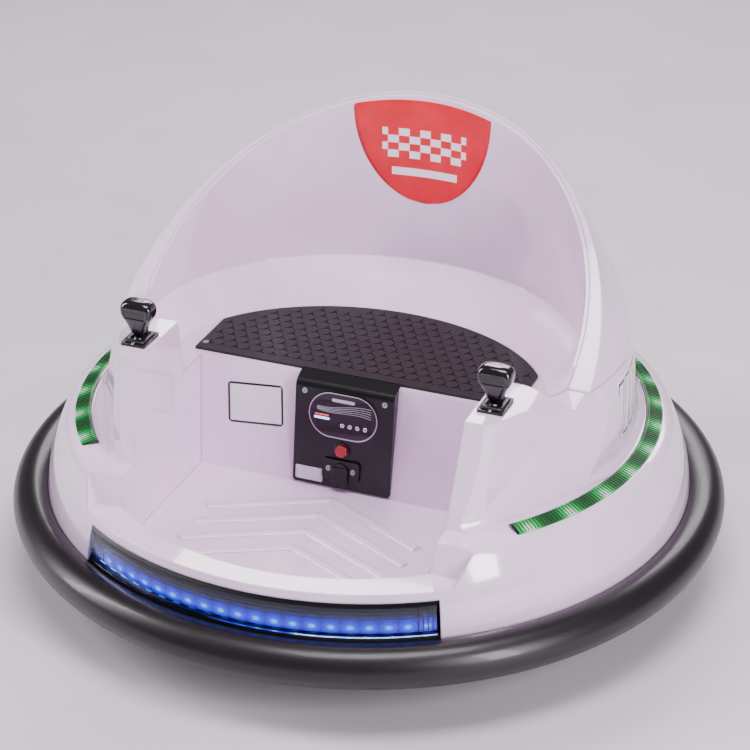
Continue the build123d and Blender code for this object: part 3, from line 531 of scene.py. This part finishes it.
def arc_ribs():
    """Short bars across an arc about the car's axis, each square to the arc."""
    tree, given = geometry_tree("arc_ribs", Radius="Float", From="Float", Turn="Float",
                                Count="Int", Height="Float", Bar="Vector", Tilt="Float",
                                Plastic="Material")
    arc = node(tree, "GeometryNodeCurveArc", {
        "Resolution": given["Count"], "Radius": given["Radius"], "Start Angle": given["From"],
        "Sweep Angle": given["Turn"]})
    spots = node(tree, "GeometryNodeCurveToPoints", {"Curve": arc.outputs["Curve"]},
                 mode="EVALUATED")
    lift = node(tree, "ShaderNodeCombineXYZ", {"Z": given["Height"]})
    lifted = node(tree, "GeometryNodeSetPosition", {"Geometry": spots.outputs["Points"],
                                                    "Offset": lift.outputs[0]})
    along = node(tree, "FunctionNodeAlignRotationToVector", {"Vector": spots.outputs["Tangent"]},
                 axis="Y", pivot_axis="Z")
    bar = node(tree, "GeometryNodeMeshCube", {"Size": given["Bar"], "Vertices X": 3,
                                              "Vertices Y": 2, "Vertices Z": 3})
    lean = node(tree, "ShaderNodeCombineXYZ", {"Y": given["Tilt"]})
    leant = node(tree, "GeometryNodeTransform", {"Geometry": bar.outputs["Mesh"],
                                                 "Rotation": lean.outputs[0]})
    each = node(tree, "GeometryNodeInstanceOnPoints", {
        "Points": lifted.outputs["Geometry"], "Instance": leant.outputs["Geometry"],
        "Rotation": along.outputs["Rotation"]})
    deliver(tree, each.outputs["Instances"], given["Plastic"])
    return tree


rib_tree = arc_ribs()
# fine upright ribs moulded in the housing beyond the last lamp at each end
for side, s in (("left", -1), ("right", 1)):
    grown(f"front_lamp_ribs_{side}", rib_tree, "car", "lamp_black",
          radius=face_r + 0.0012, turn=math.radians(2.4),
          **{"from": math.radians(-90 + s * 31.2 - 1.2)}, count=4, height=reflector_mid,
          bar=(0.0016, 0.0011, 0.024), plastic=gloss_black)

# ---------------------------------------------------------------- side lamps
# A dark green ribbed strip of translucent ABS on each side, clipped into a black
# channel, with nine green lamps under it that show as hot spots between the ribs.
dress(gloss_black, "side_lamp_channel_left", "side_lamp_channel_right")
lamps_along, first_lamp, lamp_row = 8.28, 0.26, 0.467
green_glow = lit_strip("green_lit_abs", lamps_along, first_lamp, lamp_row, "E8FFF2", "16DC66",
                       "006A22", "00260A", 1.2, 1.5, 0.6)
green_plastic = moulded("dark_green_abs", "02240F", "043016", 3.0, 0.02, 0.5)
lamp_side_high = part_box("side_lamp_channel_right")[1]
lamp_outer, lamp_ledge = lamp_side_high.x, lamp_side_high.z
lamp_from, lamp_to = math.radians(49.8), math.radians(129.7)
# the strip leans outward and down: r from the outer edge and height over the ledge
lens_profile = [(lamp_outer + r / 1000, lamp_ledge + z / 1000) for r, z in (
    (-14.6, -1.0), (-14.2, 3.9), (-12.8, 4.5), (0.9, 0.6), (1.8, -0.4), (1.8, -2.0))]
border_profile = [(lamp_outer + r / 1000, lamp_ledge + z / 1000) for r, z in (
    (-15.8, -1.5), (-15.8, 2.6), (-14.4, 3.4), (1.4, -0.1), (2.9, -0.9), (2.9, -3.0))]
for side, s in (("left", -1), ("right", 1)):
    cover = strip(f"side_lamp_strip_{side}", lens_profile, s * lamp_from, s * lamp_to, 170,
                  green_glow)
    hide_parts(f"side_lamp_cover_{side}")
    strip(f"side_lamp_border_{side}", border_profile, s * (lamp_from - 0.006),
          s * (lamp_to + 0.006), 120, gloss_black)
    start = math.radians(-90) + s * lamp_from if s > 0 else math.radians(-90) - lamp_to
    grown(f"side_lamp_ribs_{side}", rib_tree, "car", "lamp_cover_green",
          radius=lamp_outer - 0.0059, turn=lamp_to - lamp_from, **{"from": start}, count=112,
          height=lamp_ledge + 0.0027, bar=(0.0124, 0.0008, 0.0008), tilt=math.radians(16.3),
          plastic=green_plastic)

# ---------------------------------------------------------------- screws
# Zinc-plated pan-head screws with a cross recess hold the panel, the socket, the
# lever plates, the mat and the pan. Each head is pressed flat and slightly domed.
zinc = moulded("zinc_plated_steel", "9C9DA2", "B8BABE", 1.2, 0.03, 0.28)
zinc.node_tree.nodes["Principled BSDF"].inputs["Metallic"].default_value = 1.0
zinc.node_tree.nodes["Principled BSDF"].inputs["IOR"].default_value = 1.5


def facing_out(tree, seeds, shape):
    """The shape on each seed point, turned to the way that the seed faces."""
    way = node(tree, "GeometryNodeInputNamedAttribute", {"Name": "facing"},
               data_type="FLOAT_VECTOR")
    turn = node(tree, "FunctionNodeAlignRotationToVector", {"Vector": way.outputs["Attribute"]},
                axis="Z")
    each = node(tree, "GeometryNodeInstanceOnPoints", {
        "Points": seeds, "Instance": shape, "Rotation": turn.outputs["Rotation"]})
    return each.outputs["Instances"]


def round_heads(name, crossed):
    """Low domed round heads on the seed points, each facing its own way, crossed or plain."""
    tree, given = geometry_tree(name, Radius="Float", Height="Float", Metal="Material")
    blank = node(tree, "GeometryNodeMeshCylinder", {
        "Vertices": 24, "Side Segments": 2, "Fill Segments": 4, "Radius": given["Radius"],
        "Depth": given["Height"]}, fill_type="NGON")
    place = node(tree, "GeometryNodeInputPosition")
    split = node(tree, "ShaderNodeSeparateXYZ", {"Vector": place.outputs[0]})
    flat = node(tree, "ShaderNodeCombineXYZ", {"X": split.outputs["X"], "Y": split.outputs["Y"]})
    reach = node(tree, "ShaderNodeVectorMath", {0: flat.outputs[0]}, operation="LENGTH")
    share = node(tree, "ShaderNodeMath", {0: reach.outputs["Value"], 1: given["Radius"]},
                 operation="DIVIDE")
    square = node(tree, "ShaderNodeMath", {0: share.outputs[0], 1: 2.0}, operation="POWER")
    drop = node(tree, "ShaderNodeMath", {0: square.outputs[0], 1: given["Height"]},
                operation="MULTIPLY")
    down = node(tree, "ShaderNodeMath", {0: drop.outputs[0], 1: -0.45}, operation="MULTIPLY")
    top = node(tree, "ShaderNodeMath", {0: split.outputs["Z"], 1: 0.0}, operation="GREATER_THAN")
    fall = node(tree, "ShaderNodeCombineXYZ", {"Z": down.outputs[0]})
    head = node(tree, "GeometryNodeSetPosition", {"Geometry": blank.outputs["Mesh"],
                                                  "Selection": top.outputs[0],
                                                  "Offset": fall.outputs[0]})
    shape = head.outputs["Geometry"]
    if crossed:
        long = node(tree, "ShaderNodeMath", {0: given["Radius"], 1: 1.25}, operation="MULTIPLY")
        thin = node(tree, "ShaderNodeMath", {0: given["Radius"], 1: 0.3}, operation="MULTIPLY")
        lift = node(tree, "ShaderNodeMath", {0: given["Height"], 1: 0.55}, operation="MULTIPLY")
        raise_by = node(tree, "ShaderNodeCombineXYZ", {"Z": lift.outputs[0]})
        for across, deep in ((long, thin), (thin, long)):
            size = node(tree, "ShaderNodeCombineXYZ", {"X": across.outputs[0],
                                                       "Y": deep.outputs[0],
                                                       "Z": given["Height"]})
            cutter = node(tree, "GeometryNodeMeshCube", {"Size": size.outputs[0]})
            lifted = node(tree, "GeometryNodeTransform", {"Geometry": cutter.outputs["Mesh"],
                                                          "Translation": raise_by.outputs[0]})
            shape = node(tree, "GeometryNodeMeshBoolean", {
                "Mesh 1": shape, "Mesh 2": lifted.outputs["Geometry"]},
                operation="DIFFERENCE", solver="EXACT").outputs["Mesh"]
    deliver(tree, facing_out(tree, given["Geometry"], shape), given["Metal"])
    return tree


screw_tree = round_heads("cross_screws", True)

# ---------------------------------------------------------------- seat mat
# A mat of black rubber on the deck, embossed all over with small three-armed
# grooves inside a plain border, and held by a screw at each end.
mat_low, mat_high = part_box("seat_mat")
black_rubber = moulded("black_mat_rubber", "0E0B0E", "161216", 1.6, 0.06, 0.58)


def grooved_sheet():
    """Fill a closed outline but for three-armed holes on a staggered grid, as a raised layer
    over a thinner base sheet."""
    tree, given = geometry_tree("grooved_mat", Pitch="Float", Arm="Float", Core="Float",
                                Border="Float", Base="Float", Tread="Float", Level="Float",
                                Rubber="Material")
    outline = node(tree, "GeometryNodeMeshToCurve", {"Mesh": given["Geometry"]})
    plain = node(tree, "GeometryNodeFillCurve", {"Curve": outline.outputs["Curve"]},
                 mode="NGONS")
    row = node(tree, "ShaderNodeMath", {0: given["Pitch"], 1: 0.8660254}, operation="MULTIPLY")
    grid_w = node(tree, "ShaderNodeMath", {0: given["Pitch"], 1: 27.0}, operation="MULTIPLY")
    grid_l = node(tree, "ShaderNodeMath", {0: row.outputs[0], 1: 14.0}, operation="MULTIPLY")
    grid = node(tree, "GeometryNodeMeshGrid", {"Size X": grid_w.outputs[0],
                                               "Size Y": grid_l.outputs[0],
                                               "Vertices X": 28, "Vertices Y": 15})
    number = node(tree, "GeometryNodeInputIndex")
    # the grid counts along Y first, so its rows alternate with the index modulo 15
    in_line = node(tree, "ShaderNodeMath", {0: number.outputs[0], 1: 15.0}, operation="MODULO")
    odd = node(tree, "ShaderNodeMath", {0: in_line.outputs[0], 1: 2.0}, operation="MODULO")
    half = node(tree, "ShaderNodeMath", {0: given["Pitch"], 1: 0.5}, operation="MULTIPLY")
    shift = node(tree, "ShaderNodeMath", {0: odd.outputs[0], 1: half.outputs[0]},
                 operation="MULTIPLY")
    bounds = node(tree, "GeometryNodeBoundBox", {"Geometry": given["Geometry"]})
    both = node(tree, "ShaderNodeVectorMath", {0: bounds.outputs["Min"],
                                               1: bounds.outputs["Max"]}, operation="ADD")
    middle = node(tree, "ShaderNodeVectorMath", {0: both.outputs[0], 1: (0.5, 0.5, 0.5)},
                  operation="MULTIPLY")
    aside = node(tree, "ShaderNodeCombineXYZ", {"X": shift.outputs[0]})
    moved = node(tree, "ShaderNodeVectorMath", {0: middle.outputs[0], 1: aside.outputs[0]},
                 operation="ADD")
    spots = node(tree, "GeometryNodeSetPosition", {"Geometry": grid.outputs["Mesh"],
                                                   "Offset": moved.outputs[0]})
    place = node(tree, "GeometryNodeInputPosition")
    above = node(tree, "ShaderNodeVectorMath", {0: place.outputs[0], 1: (0, 0, 0.01)},
                 operation="ADD")
    under = node(tree, "GeometryNodeRaycast", {
        "Target Geometry": plain.outputs["Mesh"], "Source Position": above.outputs[0],
        "Ray Direction": (0, 0, -1), "Ray Length": 0.1})
    edge = node(tree, "GeometryNodeProximity", {0: given["Geometry"]}, target_element="EDGES")
    clear = node(tree, "ShaderNodeMath", {0: edge.outputs["Distance"], 1: given["Border"]},
                 operation="GREATER_THAN")
    kept = node(tree, "ShaderNodeMath", {0: under.outputs["Is Hit"], 1: clear.outputs[0]},
                operation="MULTIPLY")
    star = node(tree, "GeometryNodeCurveStar", {"Points": 3, "Inner Radius": given["Core"],
                                                "Outer Radius": given["Arm"]})
    upright = node(tree, "GeometryNodeTransform", {"Geometry": star.outputs["Curve"],
                                                   "Rotation": (0, 0, math.radians(90))})
    holes = node(tree, "GeometryNodeInstanceOnPoints", {
        "Points": spots.outputs["Geometry"], "Selection": kept.outputs[0],
        "Instance": upright.outputs["Geometry"]})
    real = node(tree, "GeometryNodeRealizeInstances", {"Geometry": holes.outputs["Instances"]})
    lines = node(tree, "GeometryNodeJoinGeometry")
    for curve in (outline.outputs["Curve"], real.outputs["Geometry"]):
        tree.links.new(curve, lines.inputs["Geometry"])
    pierced = node(tree, "GeometryNodeFillCurve", {"Curve": lines.outputs["Geometry"]},
                   mode="TRIANGLES")
    layers = node(tree, "GeometryNodeJoinGeometry")
    for face, thick, low in ((plain, given["Base"], None), (pierced, given["Tread"],
                                                            given["Base"])):
        seat = face.outputs["Mesh"]
        if low is not None:
            rise = node(tree, "ShaderNodeCombineXYZ", {"Z": low})
            seat = node(tree, "GeometryNodeTransform", {
                "Geometry": seat, "Translation": rise.outputs[0]}).outputs["Geometry"]
        solid = node(tree, "GeometryNodeExtrudeMesh", {"Mesh": seat, "Offset Scale": thick,
                                                       "Individual": False})
        under_side = node(tree, "GeometryNodeFlipFaces", {"Mesh": seat})
        for part in (solid.outputs["Mesh"], under_side.outputs["Mesh"]):
            tree.links.new(part, layers.inputs["Geometry"])
    welded = node(tree, "GeometryNodeMergeByDistance", {"Geometry": layers.outputs["Geometry"],
                                                        "Distance": 0.00001})
    # filled curves lie at height zero, so the finished sheet is raised to its level
    up = node(tree, "ShaderNodeCombineXYZ", {"Z": given["Level"]})
    raised = node(tree, "GeometryNodeTransform", {"Geometry": welded.outputs["Geometry"],
                                                  "Translation": up.outputs[0]})
    coated = node(tree, "GeometryNodeSetMaterial", {"Geometry": raised.outputs["Geometry"],
                                                    "Material": given["Rubber"]})
    node(tree, "NodeGroupOutput", {"Geometry": coated.outputs["Geometry"]})
    return tree


def outline_of(name):
    """The plan outline of a flat CAD node, as its corners in order. The outline bulges
    everywhere, so its corners in order of bearing from the middle go round it."""
    low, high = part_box(name)
    middle = (low + high) / 2
    corners = {(round(v.co.x, 5), round(v.co.y, 5))
               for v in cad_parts[name].data.vertices if v.co.z < low.z + 0.0005}
    return [(x, y, 0.0) for x, y in
            sorted(corners, key=lambda c: math.atan2(c[1] - middle.y, c[0] - middle.x))]


mat_outline = outline_of("seat_mat")
mat_corners = len(mat_outline)
mat = grown("seat_mat_grooved", grooved_sheet(), "car", "mat_black", mat_outline,
            edges=[(n, (n + 1) % mat_corners) for n in range(mat_corners)], pitch=0.0142,
            arm=0.0078, core=0.0012, border=0.0095, base=0.0017, tread=0.0012,
            level=mat_low.z, rubber=black_rubber)
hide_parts("seat_mat")
mat_screws = [(s * (mat_high.x - 0.006), mat_low.y + 0.013, mat_high.z + 0.0002) for s in (-1, 1)]
grown("seat_mat_screws", screw_tree, "car", "steel_zinc", mat_screws, [(0, 0, 1)] * 2,
      radius=0.0032, height=0.0016, metal=zinc)

# ---------------------------------------------------------------- control levers
# Each lever is a flared grip moulded in glass-filled nylon round a drum that rocks
# on a cross pin, in a black plate with a raised collar and a screw at each end.
gloss_nylon = moulded("gloss_black_nylon", "0C0C0E", "151517", 2.2, 0.03, 0.17, 0.5)
plate_nylon = moulded("satin_black_nylon", "121113", "1A191B", 1.2, 0.04, 0.34)
dress(plate_nylon, "lever_plate_left", "lever_plate_right")


def ring_of(built, middle, half_x, half_y, power, points=40):
    """One level of a grip: a rounded rectangle, squarer with a higher power."""
    ring = []
    for n in range(points):
        turn = 2 * math.pi * (n + 0.5) / points
        c, s = math.cos(turn), math.sin(turn)
        size = (abs(c) ** power + abs(s) ** power) ** (-1 / power)
        ring.append(built.verts.new((middle.x + half_x * c * size, middle.y + half_y * s * size,
                                     middle.z)))
    return ring


def skin_between(built, rings, closed_low=True, closed_high=True):
    """Faces between levels, and a cap on each end."""
    for lower, upper in zip(rings, rings[1:]):
        for n in range(len(lower)):
            nxt = (n + 1) % len(lower)
            built.faces.new((lower[n], lower[nxt], upper[nxt], upper[n])).smooth = True
    if closed_low:
        built.faces.new(rings[0][::-1])
    if closed_high:
        built.faces.new(rings[-1])


def as_piece(built, name, finish, body, rounding=0.0, smoother=0):
    """Turn a bmesh into a piece on its body, with rounded edges or a finer skin if asked."""
    bmesh.ops.recalc_face_normals(built, faces=built.faces)
    piece = placed(built, name, finish, body)
    if rounding:
        soft = piece.modifiers.new("rounding", "BEVEL")
        soft.width, soft.segments, soft.limit_method = rounding, 3, "ANGLE"
    if smoother:
        finer = piece.modifiers.new("finer", "SUBSURF")
        finer.levels = finer.render_levels = smoother
    return piece


# height over the pin, half width, half depth, squareness, all but the last in millimetres
grip_levels = ((4.0, 4.6, 4.6, 3), (10.8, 4.7, 4.7, 3), (11.6, 7.2, 5.6, 4), (12.6, 8.0, 6.1, 4),
               (17.0, 9.2, 6.8, 4), (23.0, 12.0, 7.9, 4), (27.5, 14.8, 9.2, 5),
               (30.5, 16.4, 10.2, 5), (35.5, 17.2, 10.8, 5), (40.5, 16.8, 10.4, 5),
               (43.8, 14.8, 8.8, 4), (45.6, 12.0, 6.8, 3), (46.2, 8.0, 4.4, 3))
drum_r, drum_half = 0.009, 0.005
window_low, window_high, window_half = 0.0285, 0.0415, 0.0135
for side in ("left", "right"):
    low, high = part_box(f"lever_{side}")
    pin = Vector(((low.x + high.x) / 2, (low.y + high.y) / 2, low.z + drum_r))
    built = bmesh.new()
    rings = [ring_of(built, pin + Vector((0, 0, up / 1000)), half_x / 1000, half_y / 1000, power)
             for up, half_x, half_y, power in grip_levels]
    skin_between(built, rings)
    # a shallow window is sunk in the front and the back of the head
    built.faces.ensure_lookup_table()
    built.normal_update()
    for facing in (-1, 1):
        window = [face for face in built.faces
                  if face.normal.y * facing > 0.8
                  and window_low < face.calc_center_median().z - pin.z < window_high
                  and abs(face.calc_center_median().x - pin.x) < window_half]
        bmesh.ops.inset_region(built, faces=window, thickness=0.0012, depth=0.0)
        bmesh.ops.inset_region(built, faces=window, thickness=0.0006, depth=-0.0011)
    # the drum, its rim rounded, lies across the car
    drum = []
    for across, radius in ((-1.0, 0.86), (-0.86, 1.0), (0.86, 1.0), (1.0, 0.86)):
        drum.append([built.verts.new((pin.x + across * drum_half,
                                      pin.y + radius * drum_r * math.cos(2 * math.pi * k / 32),
                                      pin.z + radius * drum_r * math.sin(2 * math.pi * k / 32)))
                     for k in range(32)])
    skin_between(built, drum)
    grip = as_piece(built, f"lever_grip_{side}", gloss_nylon, f"lever_arm_{side}",
                    smoother=1)
    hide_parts(f"lever_{side}")

    plate_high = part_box(f"lever_plate_{side}")[1]
    collar = bmesh.new()
    loops = []
    for up, half_x, half_y, power in ((0.0, 11.6, 14.6, 8), (1.7, 10.9, 13.6, 8),
                                      (2.4, 10.0, 12.6, 7), (2.4, 6.4, 9.4, 10),
                                      (0.0, 5.9, 9.3, 12)):
        loops.append(ring_of(collar, Vector((pin.x, pin.y, plate_high.z + up / 1000)),
                             half_x / 1000, half_y / 1000, power))
    skin_between(collar, loops + [loops[0]], False, False)
    as_piece(collar, f"lever_collar_{side}", plate_nylon, "car")
    grown(f"lever_screws_{side}", screw_tree, "car", "steel_zinc",
          [(pin.x, pin.y + s * 0.0152, plate_high.z + 0.0004) for s in (-1, 1)],
          [(0, 0, 1)] * 2, radius=0.0019, height=0.0012, metal=zinc)

# ---------------------------------------------------------------- control panel
# A black ABS moulding screwed over the riser. It carries the player's oval face in a
# bright bezel, four keys, a red power switch, and the charging socket under its flap.
panel_abs = moulded("satin_panel_abs", "08070A", "0D0C0F", 1.2, 0.04, 0.3, 0.1, 0.6)
dress(panel_abs, "control_panel", "charging_socket_cover")
bright_trim = moulded("plated_silver_trim", "C6C6CC", "D6D6DC", 4.0, 0.01, 0.12)
bright_trim.node_tree.nodes["Principled BSDF"].inputs["Metallic"].default_value = 1.0
bright_trim.node_tree.nodes["Principled BSDF"].inputs["IOR"].default_value = 1.5
dress(bright_trim, "player_bezel")
panel_skin = surface_of("control_panel")
panel_foot, panel_brow = (panel_skin.ray_cast(Vector((0.045, -0.3, z)), Vector((0, 1, 0)))[0]
                          for z in (0.105, 0.19))
panel_up = (panel_brow - panel_foot).normalized()
panel_out = Vector((0, -panel_up.z, panel_up.y))


def on_panel(x, z, out=0.0):
    """The point of the panel's face at this x and height, raised off it by out."""
    rise = (z - panel_foot.z) / panel_up.z
    return Vector((x, panel_foot.y, panel_foot.z)) + panel_up * rise + panel_out * out


def face_plate(name, middle_z, outline, low, high, finish, x=0.0, rounding=0.0):
    """A flat plate on the panel's face, from an outline of (across, up) points."""
    built = bmesh.new()
    middle = on_panel(x, middle_z)
    across = Vector((1, 0, 0))
    rings = [[built.verts.new(middle + across * u + panel_up * v + panel_out * out)
              for u, v in outline] for out in (low, high)]
    skin_between(built, rings)
    for face in built.faces:
        face.smooth = False
    return as_piece(built, name, finish, "car", rounding)


def stadium(half_w, half_h, points=20):
    """A slot with round ends, or a circle where both halves are alike."""
    reach = half_w - half_h
    return [(s * reach + half_h * math.cos(turn), half_h * math.sin(turn))
            for s, start in ((1, -90), (-1, 90))
            for turn in (math.radians(start + 180 * n / points) for n in range(points + 1))]


dial_low, dial_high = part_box("player_bezel")
dial_mid = (dial_low + dial_high) / 2
dial_z = dial_mid.z
player_gloss = moulded("gloss_player_acrylic", "050507", "09090D", 20.0, 0.01, 0.05, 0.6)
face_top = 0.0028
face_plate("player_face", dial_z, stadium(0.0358, 0.0228), 0.0012, face_top, player_gloss)


def staves():
    """Fine printed lines, fanned and waved across the player's face."""
    tree, given = geometry_tree("player_staves", Length="Float", Pitch="Float", Wave="Float",
                                Thickness="Float", Ink="Material")
    lines = node(tree, "GeometryNodeJoinGeometry")
    for n in range(5):
        line = node(tree, "GeometryNodeCurvePrimitiveLine", {"Start": (-0.5, 0, 0),
                                                             "End": (0.5, 0, 0)})
        fine = node(tree, "GeometryNodeResampleCurve", {"Curve": line.outputs["Curve"],
                                                        "Count": 40})
        place = node(tree, "GeometryNodeInputPosition")
        split = node(tree, "ShaderNodeSeparateXYZ", {"Vector": place.outputs[0]})
        turn = node(tree, "ShaderNodeMath", {0: split.outputs["X"], 1: 5.2},
                    operation="MULTIPLY")
        wave = node(tree, "ShaderNodeMath", {0: turn.outputs[0]}, operation="SINE")
        high = node(tree, "ShaderNodeMath", {0: wave.outputs[0], 1: given["Wave"]},
                    operation="MULTIPLY")
        fan = node(tree, "ShaderNodeMath", {0: split.outputs["X"], 1: 1.0}, operation="ADD")
        step = node(tree, "ShaderNodeMath", {0: given["Pitch"], 1: n - 2.0},
                    operation="MULTIPLY")
        spread = node(tree, "ShaderNodeMath", {0: fan.outputs[0], 1: step.outputs[0]},
                      operation="MULTIPLY")
        level = node(tree, "ShaderNodeMath", {0: high.outputs[0], 1: spread.outputs[0]},
                     operation="ADD")
        long = node(tree, "ShaderNodeMath", {0: split.outputs["X"], 1: given["Length"]},
                    operation="MULTIPLY")
        spot = node(tree, "ShaderNodeCombineXYZ", {"X": long.outputs[0], "Y": level.outputs[0]})
        laid = node(tree, "GeometryNodeSetPosition", {"Geometry": fine.outputs["Curve"],
                                                      "Position": spot.outputs[0]})
        tree.links.new(laid.outputs["Geometry"], lines.inputs["Geometry"])
    section = node(tree, "GeometryNodeCurvePrimitiveCircle", {"Resolution": 6,
                                                              "Radius": given["Thickness"]})
    ink_lines = node(tree, "GeometryNodeCurveToMesh", {"Curve": lines.outputs["Geometry"],
                                                       "Profile Curve": section.outputs["Curve"],
                                                       "Fill Caps": True})
    deliver(tree, facing_out(tree, given["Geometry"], ink_lines.outputs["Mesh"]), given["Ink"])
    return tree


silver_ink = moulded("silver_screen_ink", "B4B4BC", "C8C8D0", 2.0, 0.01, 0.4)
grown("player_staves", staves(), "car", "silver_trim",
      [on_panel(0.001, dial_z + 0.007, face_top + 0.0001)], [panel_out], length=0.058,
      pitch=0.0017, wave=0.0016, thickness=0.0002, ink=silver_ink)
key_pitch, key_count = 0.0082, 4
keys = [on_panel(-0.0003 + key_pitch * n, dial_z - 0.0092, face_top + 0.0004)
        for n in range(key_count)]
grown("player_keys", round_heads("domed_keys", False), "car", "silver_trim", keys,
      [panel_out] * key_count, radius=0.0024, height=0.0018, metal=bright_trim)
level_glow = glowing("level_bar_light", "E8F0FF", "4A7CFF", 2.2)
red_glow = glowing("level_bar_red", "FF6A5A", "D01A1A", 1.6)
# name, x and height on the face, outline, how far it stands out, finish, slot
for mark, mark_x, mark_up, outline, stands_out, finish, slot in (
        ("label_strip", 0.0, 0.0165, stadium(0.0125, 0.0017, 4), 0.0002, silver_ink,
         "silver_trim"),
        ("level_bar", -0.0225, -0.0042, stadium(0.0085, 0.0013, 6), 0.0003, level_glow,
         "led_blue"),
        ("level_red", -0.0225, -0.0008, stadium(0.0075, 0.0006, 6), 0.0002, red_glow,
         "red_switch")):
    face_plate(f"player_{mark}", dial_z + mark_up, outline, face_top - 0.0002,
               face_top + stands_out, finish, mark_x)

switch_low, switch_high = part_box("power_switch")
switch_z = (switch_low.z + switch_high.z) / 2
face_plate("power_switch_bezel", switch_z, stadium(0.0082, 0.0082), 0.0, 0.0024, panel_abs,
           rounding=0.0008)
red_nylon = moulded("red_switch_nylon", "A8000E", "C20818", 3.0, 0.02, 0.16, 0.4, 0.5)
dress(red_nylon, "power_switch")
face_plate("power_switch_rocker", switch_z, stadium(0.0064, 0.0064), 0.002, 0.0046, red_nylon,
           rounding=0.0012)
socket_low, socket_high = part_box("charging_socket_cover")
socket_z = (socket_low.z + socket_high.z) / 2
flap_corners = [(x * 0.0085, y * 0.010) for x, y in (
    (-1, -0.8), (-0.8, -1), (0.8, -1), (1, -0.8), (1, 0.8), (0.8, 1), (-0.8, 1), (-1, 0.8))]
face_plate("charging_socket_flap", socket_z - 0.006, flap_corners, 0.0048, 0.0062, panel_abs,
           rounding=0.0006)
panel_spots = [on_panel(s * 0.043, 0.1955, 0.0006) for s in (-1, 1)]
panel_spots += [on_panel(s * 0.0131, socket_z + 0.0005, 0.0036) for s in (-1, 1)]
grown("panel_screws", screw_tree, "car", "steel_zinc", panel_spots, [panel_out] * 4,
      radius=0.0029, height=0.0018, metal=zinc)
sticker("panel_label", panel_skin, (-0.0352, 0.0, 0.1075), (1, 0, 0), (0, -1, 0),
        rounded_ends(0.0148, 0.0145, 0.0008), 0.0145, 10, 8,
        vinyl("panel_label_vinyl", "D8CEDC", "E2D8E6")[0])

# ---------------------------------------------------------------- pan and drive
# The chassis pan is a black polypropylene moulding. Under it sit the two drive
# wheels on steel axles, their gearboxes, and the battery in its tray.
pan_plastic = moulded("black_pan_polypropylene", "111013", "1A191C", 1.5, 0.05, 0.5, 0.0, 1.0)
dress(pan_plastic, "chassis_pan")
dress(moulded("gearbox_nylon", "151517", "1E1E21", 1.0, 0.05, 0.42, 0.0, 1.0),
      "drive_unit_left", "drive_unit_right")
dress(moulded("battery_abs", "232326", "2C2C30", 1.0, 0.05, 0.45, 0.0, 1.0), "battery")
dress(moulded("grey_hub_nylon", "3A3A3E", "4A4A4F", 1.5, 0.04, 0.4, 0.0, 0.8),
      "drive_hub_left", "drive_hub_right")
dress(zinc, "axle_left", "axle_right")
flange_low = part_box("chassis_pan")[0]
pan_screws = [(0.3 * math.cos(turn), 0.3 * math.sin(turn), flange_low.z - 0.0004)
              for turn in (math.radians(15 + 30 * n) for n in range(12))]
grown("pan_screws", screw_tree, "car", "steel_zinc", pan_screws, [(0, 0, -1)] * 12,
      radius=0.0042, height=0.0024, metal=zinc)

# ---------------------------------------------------------------- tyres and casters
# Solid rubber tyres with cross grooves, and two swivel casters of nylon wheels in
# zinc-plated steel forks.
tyre_low, tyre_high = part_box("drive_tyre_right")
axle_y, axle_z = (tyre_low.y + tyre_high.y) / 2, (tyre_low.z + tyre_high.z) / 2
tyre_rubber, tree, shader, place = new_finish("grooved_tyre_rubber")
seat = node(tree, "ShaderNodeMapping", {"Vector": place.outputs["Object"],
                                        "Location": (0.0, -axle_y, -axle_z)},
            vector_type="POINT")
split = node(tree, "ShaderNodeSeparateXYZ", {"Vector": seat.outputs["Vector"]})
bearing = node(tree, "ShaderNodeMath", {0: split.outputs["Z"], 1: split.outputs["Y"]},
               operation="ARCTAN2")
lugs = node(tree, "ShaderNodeMath", {0: bearing.outputs[0], 1: 40.0}, operation="MULTIPLY")
groove = node(tree, "ShaderNodeMath", {0: lugs.outputs[0]}, operation="SINE")
cut = node(tree, "ShaderNodeMapRange", {"Value": groove.outputs[0], "From Min": -0.7,
                                        "From Max": -0.2})
relief = node(tree, "ShaderNodeBump", {"Height": cut.outputs["Result"], "Distance": 0.0012})
tree.links.new(relief.outputs["Normal"], shader.inputs["Normal"])
# painted shade: the grooves are painted darker than the lugs, as if shade lay in them
tree.links.new(tones(tree, cut.outputs["Result"], (0.0, "100F0F"), (1.0, "201E1E")),
               shader.inputs["Base Color"])
shader.inputs["Roughness"].default_value = 0.68
dress(tyre_rubber, "drive_tyre_left", "drive_tyre_right")
dress(moulded("caster_nylon", "B0AEA8", "C2C0BA", 1.5, 0.04, 0.4, 0.0, 0.8),
      "caster_wheel_front", "caster_wheel_rear")
dress(zinc, "caster_fork_front", "caster_fork_rear", "caster_pin_front", "caster_pin_rear",
      "caster_plate_front", "caster_plate_rear")
